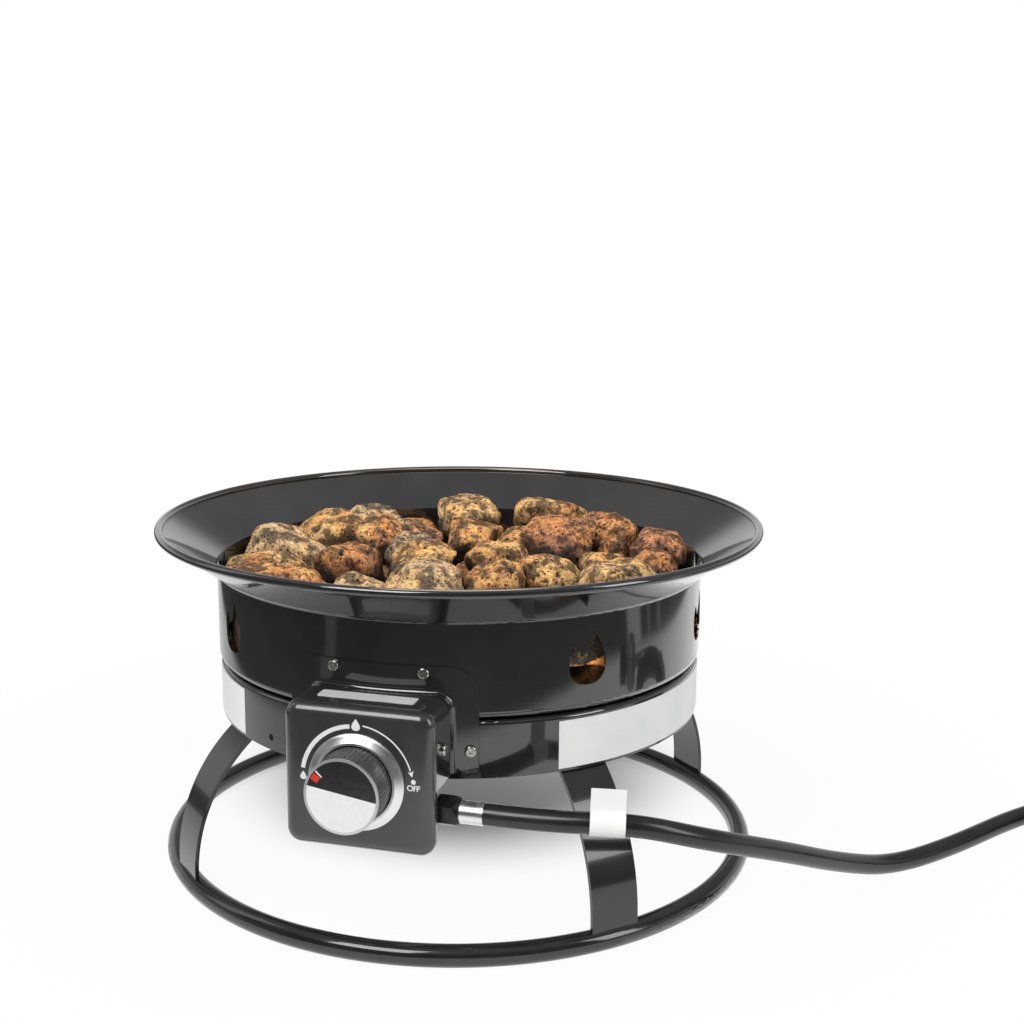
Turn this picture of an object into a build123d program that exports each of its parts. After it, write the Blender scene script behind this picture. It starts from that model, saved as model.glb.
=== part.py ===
from build123d import *
import math
import os
import numpy as np
from scipy.spatial import HalfspaceIntersection, cKDTree

# Portable propane fire pit: a flared steel bowl of lava rocks on a ring base, with a gas
# control box at the front and a hose that ends in its regulator. Millimetres, +Z up. The
# origin is on the floor, on the bowl's axis, and the control box faces -Y. Angles round the
# bowl are counted from the control box, positive towards +X.

# Sheet metal and fits
sheet = 1.2
seat_gap = 0.1
running_gap = 0.05
hole_gap = 0.3
cut_reach = 400.0
drill_depth = 8.0

# Main size, which the other radii follow
rim_radius = 241.3

# Base ring, which stands on a narrow flat
ring_inset = 9.3
ring_tube = 8.2
ring_flat = 0.4

# Shroud: an inverted pan whose wall is the lower band
shroud_inset = 48.8
shroud_bottom = 121.5
shroud_height = 42.0
shroud_corner = 2.5
vent_hole_angle = -29.0
vent_hole_drop = 32.3
vent_hole_radius = 2.6

# Legs of bent flat bar, bolted under the shroud's top plate
leg_names = {
    "leg_front_right": 45.0,
    "leg_rear_right": 135.0,
    "leg_rear_left": 225.0,
    "leg_front_left": 315.0,
}
leg_width = 38.0
leg_thick = 3.0
leg_foot_offset = 2.0
leg_foot_straight = 4.0
leg_band_gap = 1.0
leg_tab = 30.0
leg_tab_bend = 8.0
leg_bolt_distance = 20.0

# Bowl: drum wall with an inward flange, floor plate on that flange, flared rim over the drum
bowl_gap = 1.5
drum_step = 1.5
drum_height = 73.5
drum_corner = 5.0
drum_flange = 18.0
floor_margin = 6.0
flare_lap = 5.0
flare_collar = 2.5
flare_bend = 3.0
flare_rise = 36.5
lip_radius = 3.3
bowl_bolt_inset = 44.0
bowl_bolt_count = 4
spacer_radius = 7.0

# Flame cut-outs, with none behind the control box
cutout_count = 8
cutout_centre = 39.0
cutout_width = 30.0
cutout_height = 40.0

# Bolts, nuts and screws
bolt_radius = 3.0
bolt_head_radius = 5.0
bolt_head_height = 2.4
bolt_end = 3.0
nut_radius = 5.6
nut_height = 4.6
screw_radius = 2.0
screw_length = 9.0
screw_head_radius = 4.2
screw_head_height = 2.4
screw_head_round = 1.4
screw_slot = 0.9
screw_recess = 1.1

# Control panel tray
panel_stand = 43.0
panel_width = 108.0
panel_height = 103.5
panel_drop = 39.5
panel_corner = 11.0
panel_edge = 9.0
panel_return = 11.0
panel_hood = 36.5
panel_hood_side = 13.0
plate_width = 70.0
plate_depth = 13.0
plate_thick = 0.4
plate_inset = 17.0
plate_corner = 1.8

# Bracket hood with its arch-shaped flange on the drum
bracket_drop = 6.0
bracket_start = 8.5
bracket_fold = 4.0
bracket_reach = 100.0
flange_half_width = 70.0
flange_above = 20.0
flange_corner = 20.0
flange_screw_across = 33.0
flange_screw_drop = 5.0
side_screw_across = 64.6
side_screw_rise = 10.0
strap_screw_inset = 9.0
strap_screw_rise = 19.0

# Dial, knob and valve, on one axis square to the panel
dial_rise = 51.0
knob_push = 3.0
knob_radius = 26.4
knob_wall = 2.2
knob_depth = 24.5
knob_stand = 3.9
knob_top = 3.6
knob_ribs = 52
knob_rib = 0.35
knob_rib_radius = 0.7
knob_trim = 1.7
knob_face_depth = 0.8
knob_hub = 7.0
knob_hub_gap = 1.0
bezel_radius = 34.4
bezel_gap = 0.9
bezel_height = 4.6
bezel_edge = 1.2
bezel_land = 1.6
bonnet_radius = 7.0
bonnet_reach = 4.4
bonnet_flange = 3.8
panel_nut_radius = 11.0
panel_nut_height = 3.4
valve_radius = 13.0
valve_length = 30.0
cavity_radius = 5.8
cavity_length = 18.0
stem_radius = 3.0
stem_shoulder = 4.4
stem_shoulder_length = 1.5
stem_tail = 12.0
stem_end_gap = 2.0
collar_length = 1.5
spring_wire = 0.5
spring_turns = 4
spring_end_gap = 0.3
boss_radius = 8.0
boss_length = 6.0
strap_thick = 1.5
strap_height = 33.0
strap_drop = 8.0
strap_tab = 13.0
jet_radius = 5.5
jet_length = 5.0
jet_tip_base = 4.5
jet_tip_radius = 2.4
jet_tip_length = 6.0

# Mixer tube and ring burner
mixer_radius = 9.5
mixer_wall = 1.2
mixer_inset = 2.5
mixer_bend = 18.5
mixer_end = 1.0
mixer_hole_gap = 1.6
burner_radius = 75.0
burner_tube = 8.0
burner_lift = 3.0
burner_ports = 24
port_radius = 1.2
port_depth = 4.0
spoke_count = 4
spoke_first = 45.0
spoke_radius = 5.5
hub_radius = 16.0
hub_height = 17.0
lock_nut_radius = 16.0
lock_nut_height = 9.0

# Stickers on the band
label_thick = 0.2
label_margin = 4.0
label_spans = {"label_right": (38.5, 101.0), "label_left": (-101.0, -40.0)}

# Hose end on the control box
hose_radius = 7.7
hose_setback = 25.0
inlet_drop = 23.5
inlet_radius = 5.4
hose_nut_gap = 0.3
hose_nut_length = 12.5
hose_nut_radius = 11.4
hose_nut_chamfer = 1.6
ferrule_radius = 8.0
ferrule_length = 16.7
ferrule_groove_inset = 4.5
ferrule_groove_width = 1.0
ferrule_groove_depth = 0.4

# Hose: the route of its free stretch, between the ferrule and the coil, in steps to the side
# and to the back from the ferrule's end, with the share of that end's height that is left
hose_lead = 44.5
hose_floor = 0.4
hose_points = [
    (100.5, 9.0, 1.015),
    (150.5, 45.0, 0.808),
    (191.5, 106.0, 0.527),
    (227.5, 166.0, 0.231),
    (266.5, 222.0, 0.005),
    (312.5, 274.0, 0.0),
]
hose_last_run = 70.0
arc_share = 0.45

# Paper tag wrapped round the hose
tag_along = 84.0
tag_length = 24.0
tag_wrap_gap = 0.9
tag_thick = 0.4
tag_flag = 16.0

# Put-away coil: two layers, in along the floor and out again on top
coil_aside = 506.5
coil_behind = 339.0
coil_radius = 105.0
coil_pitch = 16.4
coil_layer_turns = 1.9375
coil_climb_turns = 0.5
coil_layer_step = 15.9
tie_thick = 1.0
tie_gap = 0.35
tie_width = 14.0
tie_angle = 75.0
tie_corner = 5.0

# Regulator at the hose's far end, with the tank nut that turns on its inlet
regulator_ferrule_radius = 9.2
regulator_ferrule_length = 22.0
regulator_lead = 45.0
regulator_radius = 29.0
regulator_round = 4.5
regulator_floor = 0.3
regulator_split = 38.0
regulator_cavity = 23.0
regulator_cavity_depth = 5.0
outlet_boss_radius = 8.4
inlet_boss_radius = 11.0
inlet_boss_length = 7.0
diaphragm_thick = 1.2
bonnet_height = 15.0
bonnet_top_radius = 20.0
bonnet_wall = 2.5
regulator_spring_radius = 9.0
regulator_spring_wire = 1.1
regulator_spring_turns = 3
cap_radius = 6.0
cap_height = 4.0
cap_round = 1.0
nipple_neck = 8.0
nipple_collar = 10.5
nipple_collar_length = 3.0
nipple_nose = 7.0
nipple_length = 34.0
seal_length = 5.0
seal_round = 3.0
nut_back = 6.0
nut_length = 36.0
nut_outer = 20.5
nut_bore = 16.3
nut_lobes = 10
nut_lobe_radius = 2.4
nut_end_gap = 0.35

# Lava rocks: lumps that fill the bowl, each cut by its own facets and towards its neighbours
rock_seed = 11
rock_size = 62.0
rock_size_spread = 0.22
rock_long_share = 1.28
rock_flat_share = 0.74
rock_tilt_angle = 28.0
rock_facets = 26
rock_rough = 0.84
rock_packing = 0.48
rock_contacts = 4
rock_growth = 1.04
rock_gap = 0.5
rock_wall_gap = 2.0
rock_wall_sides = 24
rock_core = 10.0
rock_samples = 150
rock_rounds = 3
rock_top_drop = 8.0
heap_drop = 22.0
burner_segments = 24

# Heights and places that follow from the sizes above
ring_radius = rim_radius - ring_inset
shroud_radius = rim_radius - shroud_inset
drum_radius = shroud_radius + drum_step
bowl_bolt_circle = drum_radius - bowl_bolt_inset
panel_front = drum_radius + panel_stand
mixer_mouth = shroud_radius - mixer_inset
panel_bottom = shroud_bottom - panel_drop
dial_height = panel_bottom + dial_rise
inlet_height = dial_height - inlet_drop
bracket_bottom = dial_height - bracket_drop
side_screw_height = dial_height + side_screw_rise
strap_screw_height = dial_height + strap_screw_rise
mixer_top = dial_height + mixer_bend + mixer_end
ring_height = ring_tube - ring_flat
shroud_top = shroud_bottom + shroud_height
drum_bottom = shroud_top + bowl_gap
floor_bottom = drum_bottom + sheet
floor_top = floor_bottom + sheet
drum_top = drum_bottom + drum_height
drum_inside = drum_radius - sheet
flare_bottom = drum_top - flare_lap
rim_top = flare_bottom + flare_rise
panel_top = panel_bottom + panel_height
panel_back = panel_front - sheet
hood_half_width = panel_width / 2 - sheet - seat_gap
hood_top = panel_top - sheet - seat_gap
hood_corner = panel_corner - sheet - seat_gap
flange_inside = drum_radius + seat_gap
flange_outside = flange_inside + sheet
flange_top = hood_top + flange_above
flange_screw_height = flange_top - flange_screw_drop
flange_screw_angle = math.degrees(math.asin(flange_screw_across / flange_outside))
side_screw_angle = math.degrees(math.asin(side_screw_across / flange_outside))
vent_hole_height = shroud_top - vent_hole_drop
valve_front = panel_back - bonnet_flange
valve_back = valve_front - valve_length
knob_back = panel_front + knob_stand
knob_front = knob_back + knob_depth
hose_line = panel_front - hose_setback
inlet_top = inlet_height + inlet_radius + hole_gap
hose_nut_start = panel_width / 2 + hose_nut_gap
ferrule_start = hose_nut_start + hose_nut_length
ferrule_end = ferrule_start + ferrule_length
burner_height = floor_top + burner_lift + burner_tube
coil_lift = tie_thick + tie_gap
coil_centre = (ferrule_end + coil_aside, coil_behind - hose_line)
coil_inner = coil_radius - coil_pitch * coil_layer_turns
coil_turns = 2 * coil_layer_turns + coil_climb_turns
coil_lean = math.degrees(math.atan2(coil_pitch, 2 * math.pi * coil_radius))
coil_start_angle = 360.0 * coil_turns - coil_lean
hose_diameter = 2 * hose_radius
heap_level = rim_top - heap_drop
heap_reach = drum_inside - rock_wall_gap

UP = (Align.CENTER, Align.CENTER, Align.MIN)
DOWN = (Align.CENTER, Align.CENTER, Align.MAX)


def sheet_of_revolution(points, bend):
    """A ring of sheet metal whose centre line, in radius and height, is given by its corners."""
    line = FilletPolyline(*points, radius=bend)
    return revolve(Plane.XZ * trace(line, sheet), Axis.Z)


def outward(angle, radius, height):
    """A place on a circle round the bowl's axis, its z direction pointing away from the axis."""
    turn = math.radians(angle)
    direction = (math.sin(turn), -math.cos(turn), 0)
    origin = (radius * direction[0], radius * direction[1], height)
    return Plane(origin=origin, x_dir=(math.cos(turn), math.sin(turn), 0), z_dir=direction).location


def forward(distance, height):
    """A place on the control box's centre plane, its z direction pointing forward."""
    return outward(0, distance, height)


def ring_of(count, first=0.0):
    return [first + 360.0 * i / count for i in range(count)]


def placed(shape, locations):
    return Compound(children=[location * shape for location in locations])


def hexagon(radius, length):
    return extrude(RegularPolygon(radius, 6), length)


def bolt(length):
    """A bolt with its head above z = 0 and its shank below."""
    head = extrude(RegularPolygon(bolt_head_radius, 6), bolt_head_height)
    return head + Cylinder(bolt_radius, length, align=DOWN)


def nut():
    """A nut whose top face is at z = 0."""
    body = extrude(RegularPolygon(nut_radius, 6), -nut_height)
    return body - Cylinder(bolt_radius + running_gap, cut_reach)


def screw():
    """A pan head screw with a cross recess, its head above z = 0 and its shank below."""
    head = Cylinder(screw_head_radius, screw_head_height, align=UP)
    head = fillet(head.edges().sort_by(Axis.Z)[-1], screw_head_round)
    for turn in (45, 135):
        slot = Box(screw_head_radius, screw_slot, screw_head_height, align=UP)
        head -= Pos(0, 0, screw_head_height - screw_recess) * Rot(0, 0, turn) * slot
    return head + Cylinder(screw_radius, screw_length, align=DOWN)


def flange_screw_places(radius):
    """Where the four screws of the bracket's flange pass a cylinder of this radius."""
    top = [outward(a, radius, flange_screw_height) for a in (-flange_screw_angle, flange_screw_angle)]
    side = [outward(a, radius, side_screw_height) for a in (-side_screw_angle, side_screw_angle)]
    return top + side


def screw_holes(radius):
    drill = Cylinder(screw_radius + hole_gap, drill_depth)
    return placed(drill, flange_screw_places(radius))


def leg_tab_radius():
    """The radius at which the middle of a leg's tab lies."""
    return leg_line()[-1][0] + leg_tab / 2


def leg_bolt_places(height):
    places = []
    for angle in leg_names.values():
        for side in (-leg_bolt_distance / 2, leg_bolt_distance / 2):
            turned = Rot(0, 0, angle) * Pos(side, -leg_tab_radius(), height)
            places.append(turned)
    return places


def bowl_bolt_places(height):
    return [outward(a, bowl_bolt_circle, 0) * Pos(0, height, 0) * Rot(-90, 0, 0)
            for a in ring_of(bowl_bolt_count)]


def base_ring():
    tube = Pos(0, 0, ring_height) * Torus(ring_radius, ring_tube)
    return tube - Cylinder(ring_radius + 2 * ring_tube, cut_reach, align=DOWN)


def leg_line():
    """Corners of a leg's centre line in radius and height: foot, end of the straight foot,
    crossing of the shroud's lower edge, bend and end of the tab."""
    foot = ring_radius + leg_foot_offset
    straight = 2 * ring_tube - ring_flat + leg_foot_straight
    wall = shroud_radius - sheet - leg_band_gap
    crossing = math.sqrt(wall ** 2 - (leg_width / 2) ** 2) - leg_thick
    lean = 2 * math.atan2(foot - crossing, shroud_bottom - straight)
    tab = shroud_top - sheet - leg_thick / 2
    bend = crossing - (tab - shroud_bottom) * math.tan(lean)
    end = bend - leg_tab
    return [(foot, ring_height), (foot, straight), (crossing, shroud_bottom), (bend, tab), (end, tab)]


def leg():
    """One leg, towards -Y: straight foot, one sweeping arc, straight run and tab."""
    foot, straight, crossing, bend, end = leg_line()
    sweep_arc = TangentArc(straight, crossing, tangent=(0, 1))
    upper = FilletPolyline(crossing, bend, end, radius=leg_tab_bend)
    outline = trace([Line(foot, straight), sweep_arc, upper], leg_thick)
    side = Plane(origin=(0, 0, 0), x_dir=(0, -1, 0), z_dir=(-1, 0, 0))
    bar = extrude(side * outline, leg_width / 2, both=True)
    bar -= Pos(0, 0, ring_height) * Torus(ring_radius, ring_tube + seat_gap)
    drill = Cylinder(bolt_radius + hole_gap, drill_depth)
    for side_step in (-leg_bolt_distance / 2, leg_bolt_distance / 2):
        bar -= Pos(side_step, -leg_tab_radius(), end[1]) * drill
    return bar


def base_shroud():
    top = shroud_top - sheet / 2
    wall = shroud_radius - sheet / 2
    centre_hole = mixer_radius + hole_gap
    pan = sheet_of_revolution([(centre_hole, top), (wall, top), (wall, shroud_bottom)], shroud_corner)
    drill = Cylinder(bolt_radius + hole_gap, drill_depth)
    pan -= placed(drill, leg_bolt_places(top) + bowl_bolt_places(top))
    notch = mixer_radius + mixer_hole_gap
    mouth = Cylinder(notch, drill_depth) + Pos(0, -notch, 0) * Box(2 * notch, 2 * notch, drill_depth)
    pan -= forward(shroud_radius, dial_height) * mouth
    vent = outward(vent_hole_angle, shroud_radius, vent_hole_height)
    pan -= vent * Cylinder(vent_hole_radius, drill_depth)
    return pan - screw_holes(shroud_radius)


def leg_bolts():
    grip = sheet + leg_thick + nut_height
    return placed(bolt(grip + bolt_end), leg_bolt_places(shroud_top))


def leg_nuts():
    return placed(nut(), leg_bolt_places(shroud_top - sheet - leg_thick))


def bowl_spacers():
    height = floor_bottom - shroud_top
    tube = Cylinder(spacer_radius, height, align=UP) - Cylinder(bolt_radius + hole_gap, cut_reach)
    return placed(tube, bowl_bolt_places(shroud_top))


def bowl_bolts():
    grip = floor_top - shroud_top + sheet + nut_height
    return placed(bolt(grip + bolt_end), bowl_bolt_places(floor_top))


def bowl_nuts():
    return placed(nut(), bowl_bolt_places(shroud_top - sheet))


def bowl_floor():
    plate = Pos(0, 0, floor_bottom) * Cylinder(drum_inside - floor_margin, sheet, align=UP)
    plate -= Cylinder(mixer_radius + hole_gap, cut_reach)
    drill = Cylinder(bolt_radius + hole_gap, drill_depth)
    return plate - placed(drill, bowl_bolt_places(floor_top))


def flame_outline():
    """A plain two-tongued flame about its own centre, drawn with arcs."""
    w = cutout_width / 2
    h = cutout_height / 2
    foot = (0, -h)
    right = (w, -0.30 * h)
    tip = (0.20 * w, h)
    notch = (-0.36 * w, 0.06 * h)
    tongue = (-0.74 * w, 0.44 * h)
    left = (-w, -0.30 * h)
    edges = [
        ThreePointArc(foot, (0.78 * w, -0.80 * h), right),
        ThreePointArc(right, (0.80 * w, 0.30 * h), tip),
        ThreePointArc(tip, (0.12 * w, 0.42 * h), notch),
        ThreePointArc(notch, (-0.46 * w, 0.28 * h), tongue),
        ThreePointArc(tongue, (-1.00 * w, 0.10 * h), left),
        ThreePointArc(left, (-0.78 * w, -0.80 * h), foot),
    ]
    return make_face(edges)


def drum_wall():
    low = drum_bottom + sheet / 2
    wall = drum_radius - sheet / 2
    drum = sheet_of_revolution([(wall - drum_flange, low), (wall, low), (wall, drum_top)], drum_corner)
    flame = extrude(flame_outline(), drill_depth, both=True)
    height = drum_bottom + cutout_centre
    drum -= placed(flame, [outward(a, drum_radius, height) for a in ring_of(cutout_count)[1:]])
    return drum - screw_holes(drum_radius)


def rim_flare():
    """The flared ring: a short collar round the drum's top, a cone and a rolled lip."""
    collar = drum_radius + seat_gap + sheet / 2
    lip = (rim_radius - lip_radius, rim_top - lip_radius)
    corner = (collar, flare_bottom + flare_collar)
    line = FilletPolyline((collar, flare_bottom), corner, lip, radius=flare_bend)
    outline = trace(line, sheet) + Pos(*lip) * Circle(lip_radius)
    return revolve(Plane.XZ * outline, Axis.Z)


def panel_block(inset):
    """The tray's outer block, or with an inset the space inside it."""
    width = panel_width - 2 * inset
    height = panel_height - 2 * inset
    outline = RectangleRounded(width, height, panel_corner - inset)
    middle = panel_bottom + panel_height / 2
    block = extrude(forward(panel_front - inset, middle) * outline, -panel_hood)
    front = block.faces().sort_by(Axis.Y)[0]
    return fillet(front.edges(), panel_edge - inset)


def control_panel():
    """The tray: shallow returns at the sides and below, a deeper hood on top."""
    tray = panel_block(0) - panel_block(sheet)
    behind = Box(2 * panel_width, cut_reach, cut_reach, align=(Align.CENTER, Align.MIN, Align.MAX))
    tray -= Pos(0, panel_return - panel_front, panel_top - panel_hood_side) * behind
    tray -= Pos(0, panel_hood - panel_front, panel_top) * behind
    return tray - forward(panel_front, dial_height) * Cylinder(bonnet_radius + hole_gap, drill_depth)


def panel_top_plate():
    plate = Box(plate_width, plate_depth, plate_thick, align=UP)
    plate = fillet(plate.edges().filter_by(Axis.Z), plate_corner)
    return Pos(0, plate_inset + plate_depth / 2 - panel_front, panel_top) * plate


def hood_outline(inset):
    """The bracket hood seen from the front: straight sides, rounded top, open below."""
    half = hood_half_width - inset
    top = hood_top - inset
    low = bracket_bottom - panel_height
    block = RectangleRounded(2 * half, top - low, hood_corner - inset)
    return Pos(0, (top + low) / 2) * block


def control_bracket():
    front = forward(panel_front - bracket_start, 0)
    hood = extrude(front * (hood_outline(0) - hood_outline(sheet)), -bracket_reach)
    hood -= Cylinder(flange_inside, 2 * cut_reach)
    arch_low = bracket_bottom - panel_height
    arch = Pos(0, (flange_top + arch_low) / 2) * RectangleRounded(
        2 * flange_half_width, flange_top - arch_low, flange_corner)
    prism = extrude(forward(panel_front, 0) * (arch - hood_outline(sheet)), -bracket_reach)
    shell = Cylinder(flange_outside, 2 * cut_reach) - Cylinder(flange_inside, 2 * cut_reach)
    bracket = hood + (prism & shell)
    bracket -= Pos(0, 0, bracket_bottom) * Box(cut_reach, 2 * cut_reach, cut_reach, align=DOWN)
    folds = [e for e in bracket.edges() if on_fold(e)]
    bracket = fillet(folds, bracket_fold)
    bracket -= screw_holes(flange_outside)
    for side in (-1, 1):
        drill = Rot(0, 90, 0) * Cylinder(screw_radius + hole_gap, drill_depth)
        bracket -= Pos(side * hood_half_width, -strap_screw_place(), strap_screw_height) * drill
    return bracket


def on_fold(edge):
    """Whether an edge is where the hood's outer face meets the flange's front."""
    near = 0.01
    for point in (edge @ 0.0, edge @ 0.5, edge @ 1.0):
        if abs(math.hypot(point.X, point.Y) - flange_outside) > near:
            return False
        if abs(point.X) > hood_half_width + near or point.Z > hood_top + near:
            return False
    middle = edge @ 0.5
    return middle.Z > bracket_bottom + near and (
        abs(abs(middle.X) - hood_half_width) < hood_corner and middle.Z < hood_top + near
        or middle.Z > hood_top - near)


def strap_screw_place():
    """How far in front of the bowl's axis the screws through the hood's sides are."""
    return valve_back + strap_screw_inset - strap_thick


def bracket_screws():
    return placed(screw(), flange_screw_places(flange_outside))


def strap_screws():
    right = Pos(hood_half_width, -strap_screw_place(), strap_screw_height) * Rot(0, 90, 0)
    left = Pos(-hood_half_width, -strap_screw_place(), strap_screw_height) * Rot(0, -90, 0)
    return placed(screw(), [right, left])


def valve_strap():
    """A channel across the hood that holds the valve's back, its ends turned forward."""
    half = hood_half_width - sheet - seat_gap
    back = -valve_back + strap_thick
    line = Polyline(
        (-half + strap_thick / 2, back - strap_thick / 2 - strap_tab),
        (-half + strap_thick / 2, back - strap_thick / 2),
        (half - strap_thick / 2, back - strap_thick / 2),
        (half - strap_thick / 2, back - strap_thick / 2 - strap_tab),
    )
    low = dial_height - strap_drop
    channel = extrude(Pos(0, 0, low) * trace(line, strap_thick), strap_height)
    channel -= forward(valve_back, dial_height) * Cylinder(boss_radius + hole_gap, drill_depth)
    drill = Rot(0, 90, 0) * Cylinder(screw_radius + hole_gap, cut_reach)
    return channel - Pos(0, -strap_screw_place(), strap_screw_height) * drill


def dial_bezel():
    """A dished ring round the knob, highest at its inner edge."""
    inner = knob_radius + bezel_gap
    outline = make_face(Polyline(
        (inner, 0), (inner, bezel_height), (inner + bezel_land, bezel_height),
        (bezel_radius, bezel_edge), (bezel_radius, 0), close=True))
    return forward(panel_front, dial_height) * revolve(Plane.XZ * outline, Axis.Z)


def knob_cap():
    """A hollow cap with a fine ribbed side, a recess for its face and a hub for the stem."""
    outline = Circle(knob_radius - knob_rib)
    tooth = Pos(knob_radius - knob_rib, 0) * Circle(knob_rib_radius)
    outline += [Rot(0, 0, a) * tooth for a in ring_of(knob_ribs)]
    outline = outline & Circle(knob_radius)
    cap = extrude(outline, knob_depth)
    cap -= Cylinder(knob_radius - knob_wall, knob_depth - knob_top, align=UP)
    hub_start = knob_push + knob_hub_gap
    cap += Pos(0, 0, hub_start) * Cylinder(knob_hub, knob_depth - knob_top - hub_start, align=UP)
    recess = Cylinder(knob_radius + knob_rib, knob_depth, align=UP)
    recess -= Cylinder(knob_radius - knob_trim, cut_reach)
    cap -= Pos(0, 0, knob_depth - knob_trim) * recess
    cap -= Pos(0, 0, knob_depth - knob_face_depth) * Cylinder(knob_radius - knob_trim, knob_depth, align=UP)
    cap -= Pos(0, 0, hub_start) * Cylinder(stem_radius, stem_grip_length(), align=UP)
    return forward(knob_back, dial_height) * cap


def stem_grip_length():
    """How deep the stem reaches into the knob's hub."""
    return knob_depth - knob_top - knob_push - knob_hub_gap - stem_end_gap


def knob_trim_ring():
    ring = Cylinder(knob_radius, knob_trim, align=DOWN) - Cylinder(knob_radius - knob_trim, cut_reach)
    return forward(knob_front, dial_height) * ring


def knob_face():
    return forward(knob_front, dial_height) * Cylinder(knob_radius - knob_trim, knob_face_depth, align=DOWN)


def panel_nut():
    body = hexagon(panel_nut_radius, panel_nut_height) - Cylinder(bonnet_radius + running_gap, cut_reach)
    return forward(panel_front, dial_height) * body


def valve_bonnet():
    """The valve's front end: a threaded neck through the panel and a flange behind it."""
    neck = Cylinder(bonnet_radius, bonnet_flange + sheet + bonnet_reach, align=UP)
    body = neck + Cylinder(valve_radius, bonnet_flange, align=UP)
    body -= Cylinder(stem_radius + running_gap, cut_reach)
    return forward(valve_front, dial_height) * body


def valve_body():
    """The valve: a cavity for the stem's spring, a boss behind for the jet, an inlet below."""
    body = Cylinder(valve_radius, valve_length, align=DOWN)
    body += Cylinder(boss_radius, valve_length + boss_length, align=DOWN)
    body -= Cylinder(cavity_radius, cavity_length, align=DOWN)
    body = forward(valve_front, dial_height) * body
    boss = Pos(0, -hose_line, dial_height) * Cylinder(boss_radius, dial_height - inlet_top, align=DOWN)
    boss -= forward(valve_front, dial_height) * Cylinder(valve_radius - sheet, valve_length, align=DOWN)
    return body + boss


def valve_stem():
    """The turning stem: its shoulder lies on the collar, its front end is in the knob's hub."""
    front = knob_back + knob_push + knob_hub_gap + stem_grip_length()
    shaft = Cylinder(stem_radius, front - valve_front, align=UP)
    shaft += Cylinder(stem_radius, stem_tail, align=DOWN)
    shoulder = Pos(0, 0, -seat_gap) * Cylinder(stem_shoulder, stem_shoulder_length, align=DOWN)
    return forward(valve_front, dial_height) * (shaft + shoulder)


def collar_front():
    """How far behind the valve's front face the spring seat's front face is."""
    return 2 * seat_gap + stem_shoulder_length


def stem_collar():
    ring = Cylinder(cavity_radius - running_gap, collar_length, align=DOWN)
    ring -= Cylinder(stem_radius + running_gap, cut_reach)
    return forward(valve_front - collar_front(), dial_height) * ring


def helix_wire(radius, wire, length, turns):
    """A spring wire that climbs from z = 0, its ends included in the length."""
    def place(turn):
        angle = 2 * math.pi * turn
        climb = wire + (length - 2 * wire) * turn / turns
        return Vector(radius * math.cos(angle), radius * math.sin(angle), climb)
    return tube_along(biarc_path(place, turns), wire)


def stem_spring():
    length = cavity_length - collar_front() - collar_length - 2 * spring_end_gap
    radius = (cavity_radius + stem_radius) / 2
    wire = helix_wire(radius, spring_wire, length, spring_turns)
    return forward(valve_front - cavity_length + spring_end_gap, dial_height) * wire


def inlet_elbow():
    """A pipe from the valve's inlet boss to the hose nut at the side of the panel."""
    elbow = Pos(0, -hose_line, inlet_height) * Sphere(inlet_radius)
    elbow += Pos(0, -hose_line, inlet_height) * Cylinder(inlet_radius, inlet_top - inlet_height, align=UP)
    return elbow + along_hose_end(0) * Cylinder(inlet_radius, hose_nut_start, align=UP)


def along_hose_end(start):
    """A place on the hose's straight end, its z direction pointing out along the hose."""
    return Pos(start, -hose_line, inlet_height) * Rot(0, 90, 0)


def hose_nut():
    body = hexagon(hose_nut_radius, hose_nut_length)
    end = hose_nut_radius - hose_nut_chamfer
    bevel = Cone(end + hose_nut_length, end, hose_nut_length, align=UP)
    return along_hose_end(hose_nut_start) * (body & bevel)


def hose_ferrule():
    body = Cylinder(ferrule_radius, ferrule_length, align=UP)
    groove = Cylinder(2 * ferrule_radius, ferrule_groove_width)
    groove -= Cylinder(ferrule_radius - ferrule_groove_depth, 2 * ferrule_groove_width)
    for inset in (ferrule_groove_inset, ferrule_length - ferrule_groove_inset):
        body -= Pos(0, 0, inset) * groove
    return along_hose_end(ferrule_start) * body


def orifice_jet():
    body = hexagon(jet_radius, jet_length)
    tip = Pos(0, 0, jet_length) * Cone(jet_tip_base, jet_tip_radius, jet_tip_length, align=UP)
    return forward(valve_back - boss_length, dial_height) * Rot(180, 0, 0) * (body + tip)


def mixer_tube():
    """The gas and air tube: in through the band, along to the bowl's axis and up."""
    line = FilletPolyline(
        (0, -mixer_mouth, dial_height), (0, 0, dial_height), (0, 0, mixer_top), radius=mixer_bend)
    start = Plane(origin=line @ 0, z_dir=line % 0)
    outer = sweep(start * Circle(mixer_radius), path=line)
    return outer - sweep(start * Circle(mixer_radius - mixer_wall), path=line)


def burner_ring():
    """The ring, with a circle of gas ports on top."""
    ring = Pos(0, 0, burner_height) * Torus(burner_radius, burner_tube)
    top = burner_height + burner_tube
    drill = Cylinder(port_radius, 2 * port_depth)
    return ring - placed(drill, [Rot(0, 0, a) * Pos(burner_radius, 0, top) for a in ring_of(burner_ports)])


def burner_manifold():
    """The burner's hub on the floor, its spokes to the ring and its spigot down to the mixer."""
    hub = Pos(0, 0, floor_top) * Cylinder(hub_radius, hub_height, align=UP)
    length = floor_top + hub_height / 2 - mixer_top
    manifold = hub + Pos(0, 0, mixer_top) * Cylinder(mixer_radius, length, align=UP)
    spoke = Cylinder(spoke_radius, burner_radius, align=UP)
    for angle in ring_of(spoke_count, spoke_first):
        manifold += outward(angle, 0, burner_height) * spoke
    return manifold - Pos(0, 0, burner_height) * Torus(burner_radius, burner_tube + seat_gap)


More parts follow.
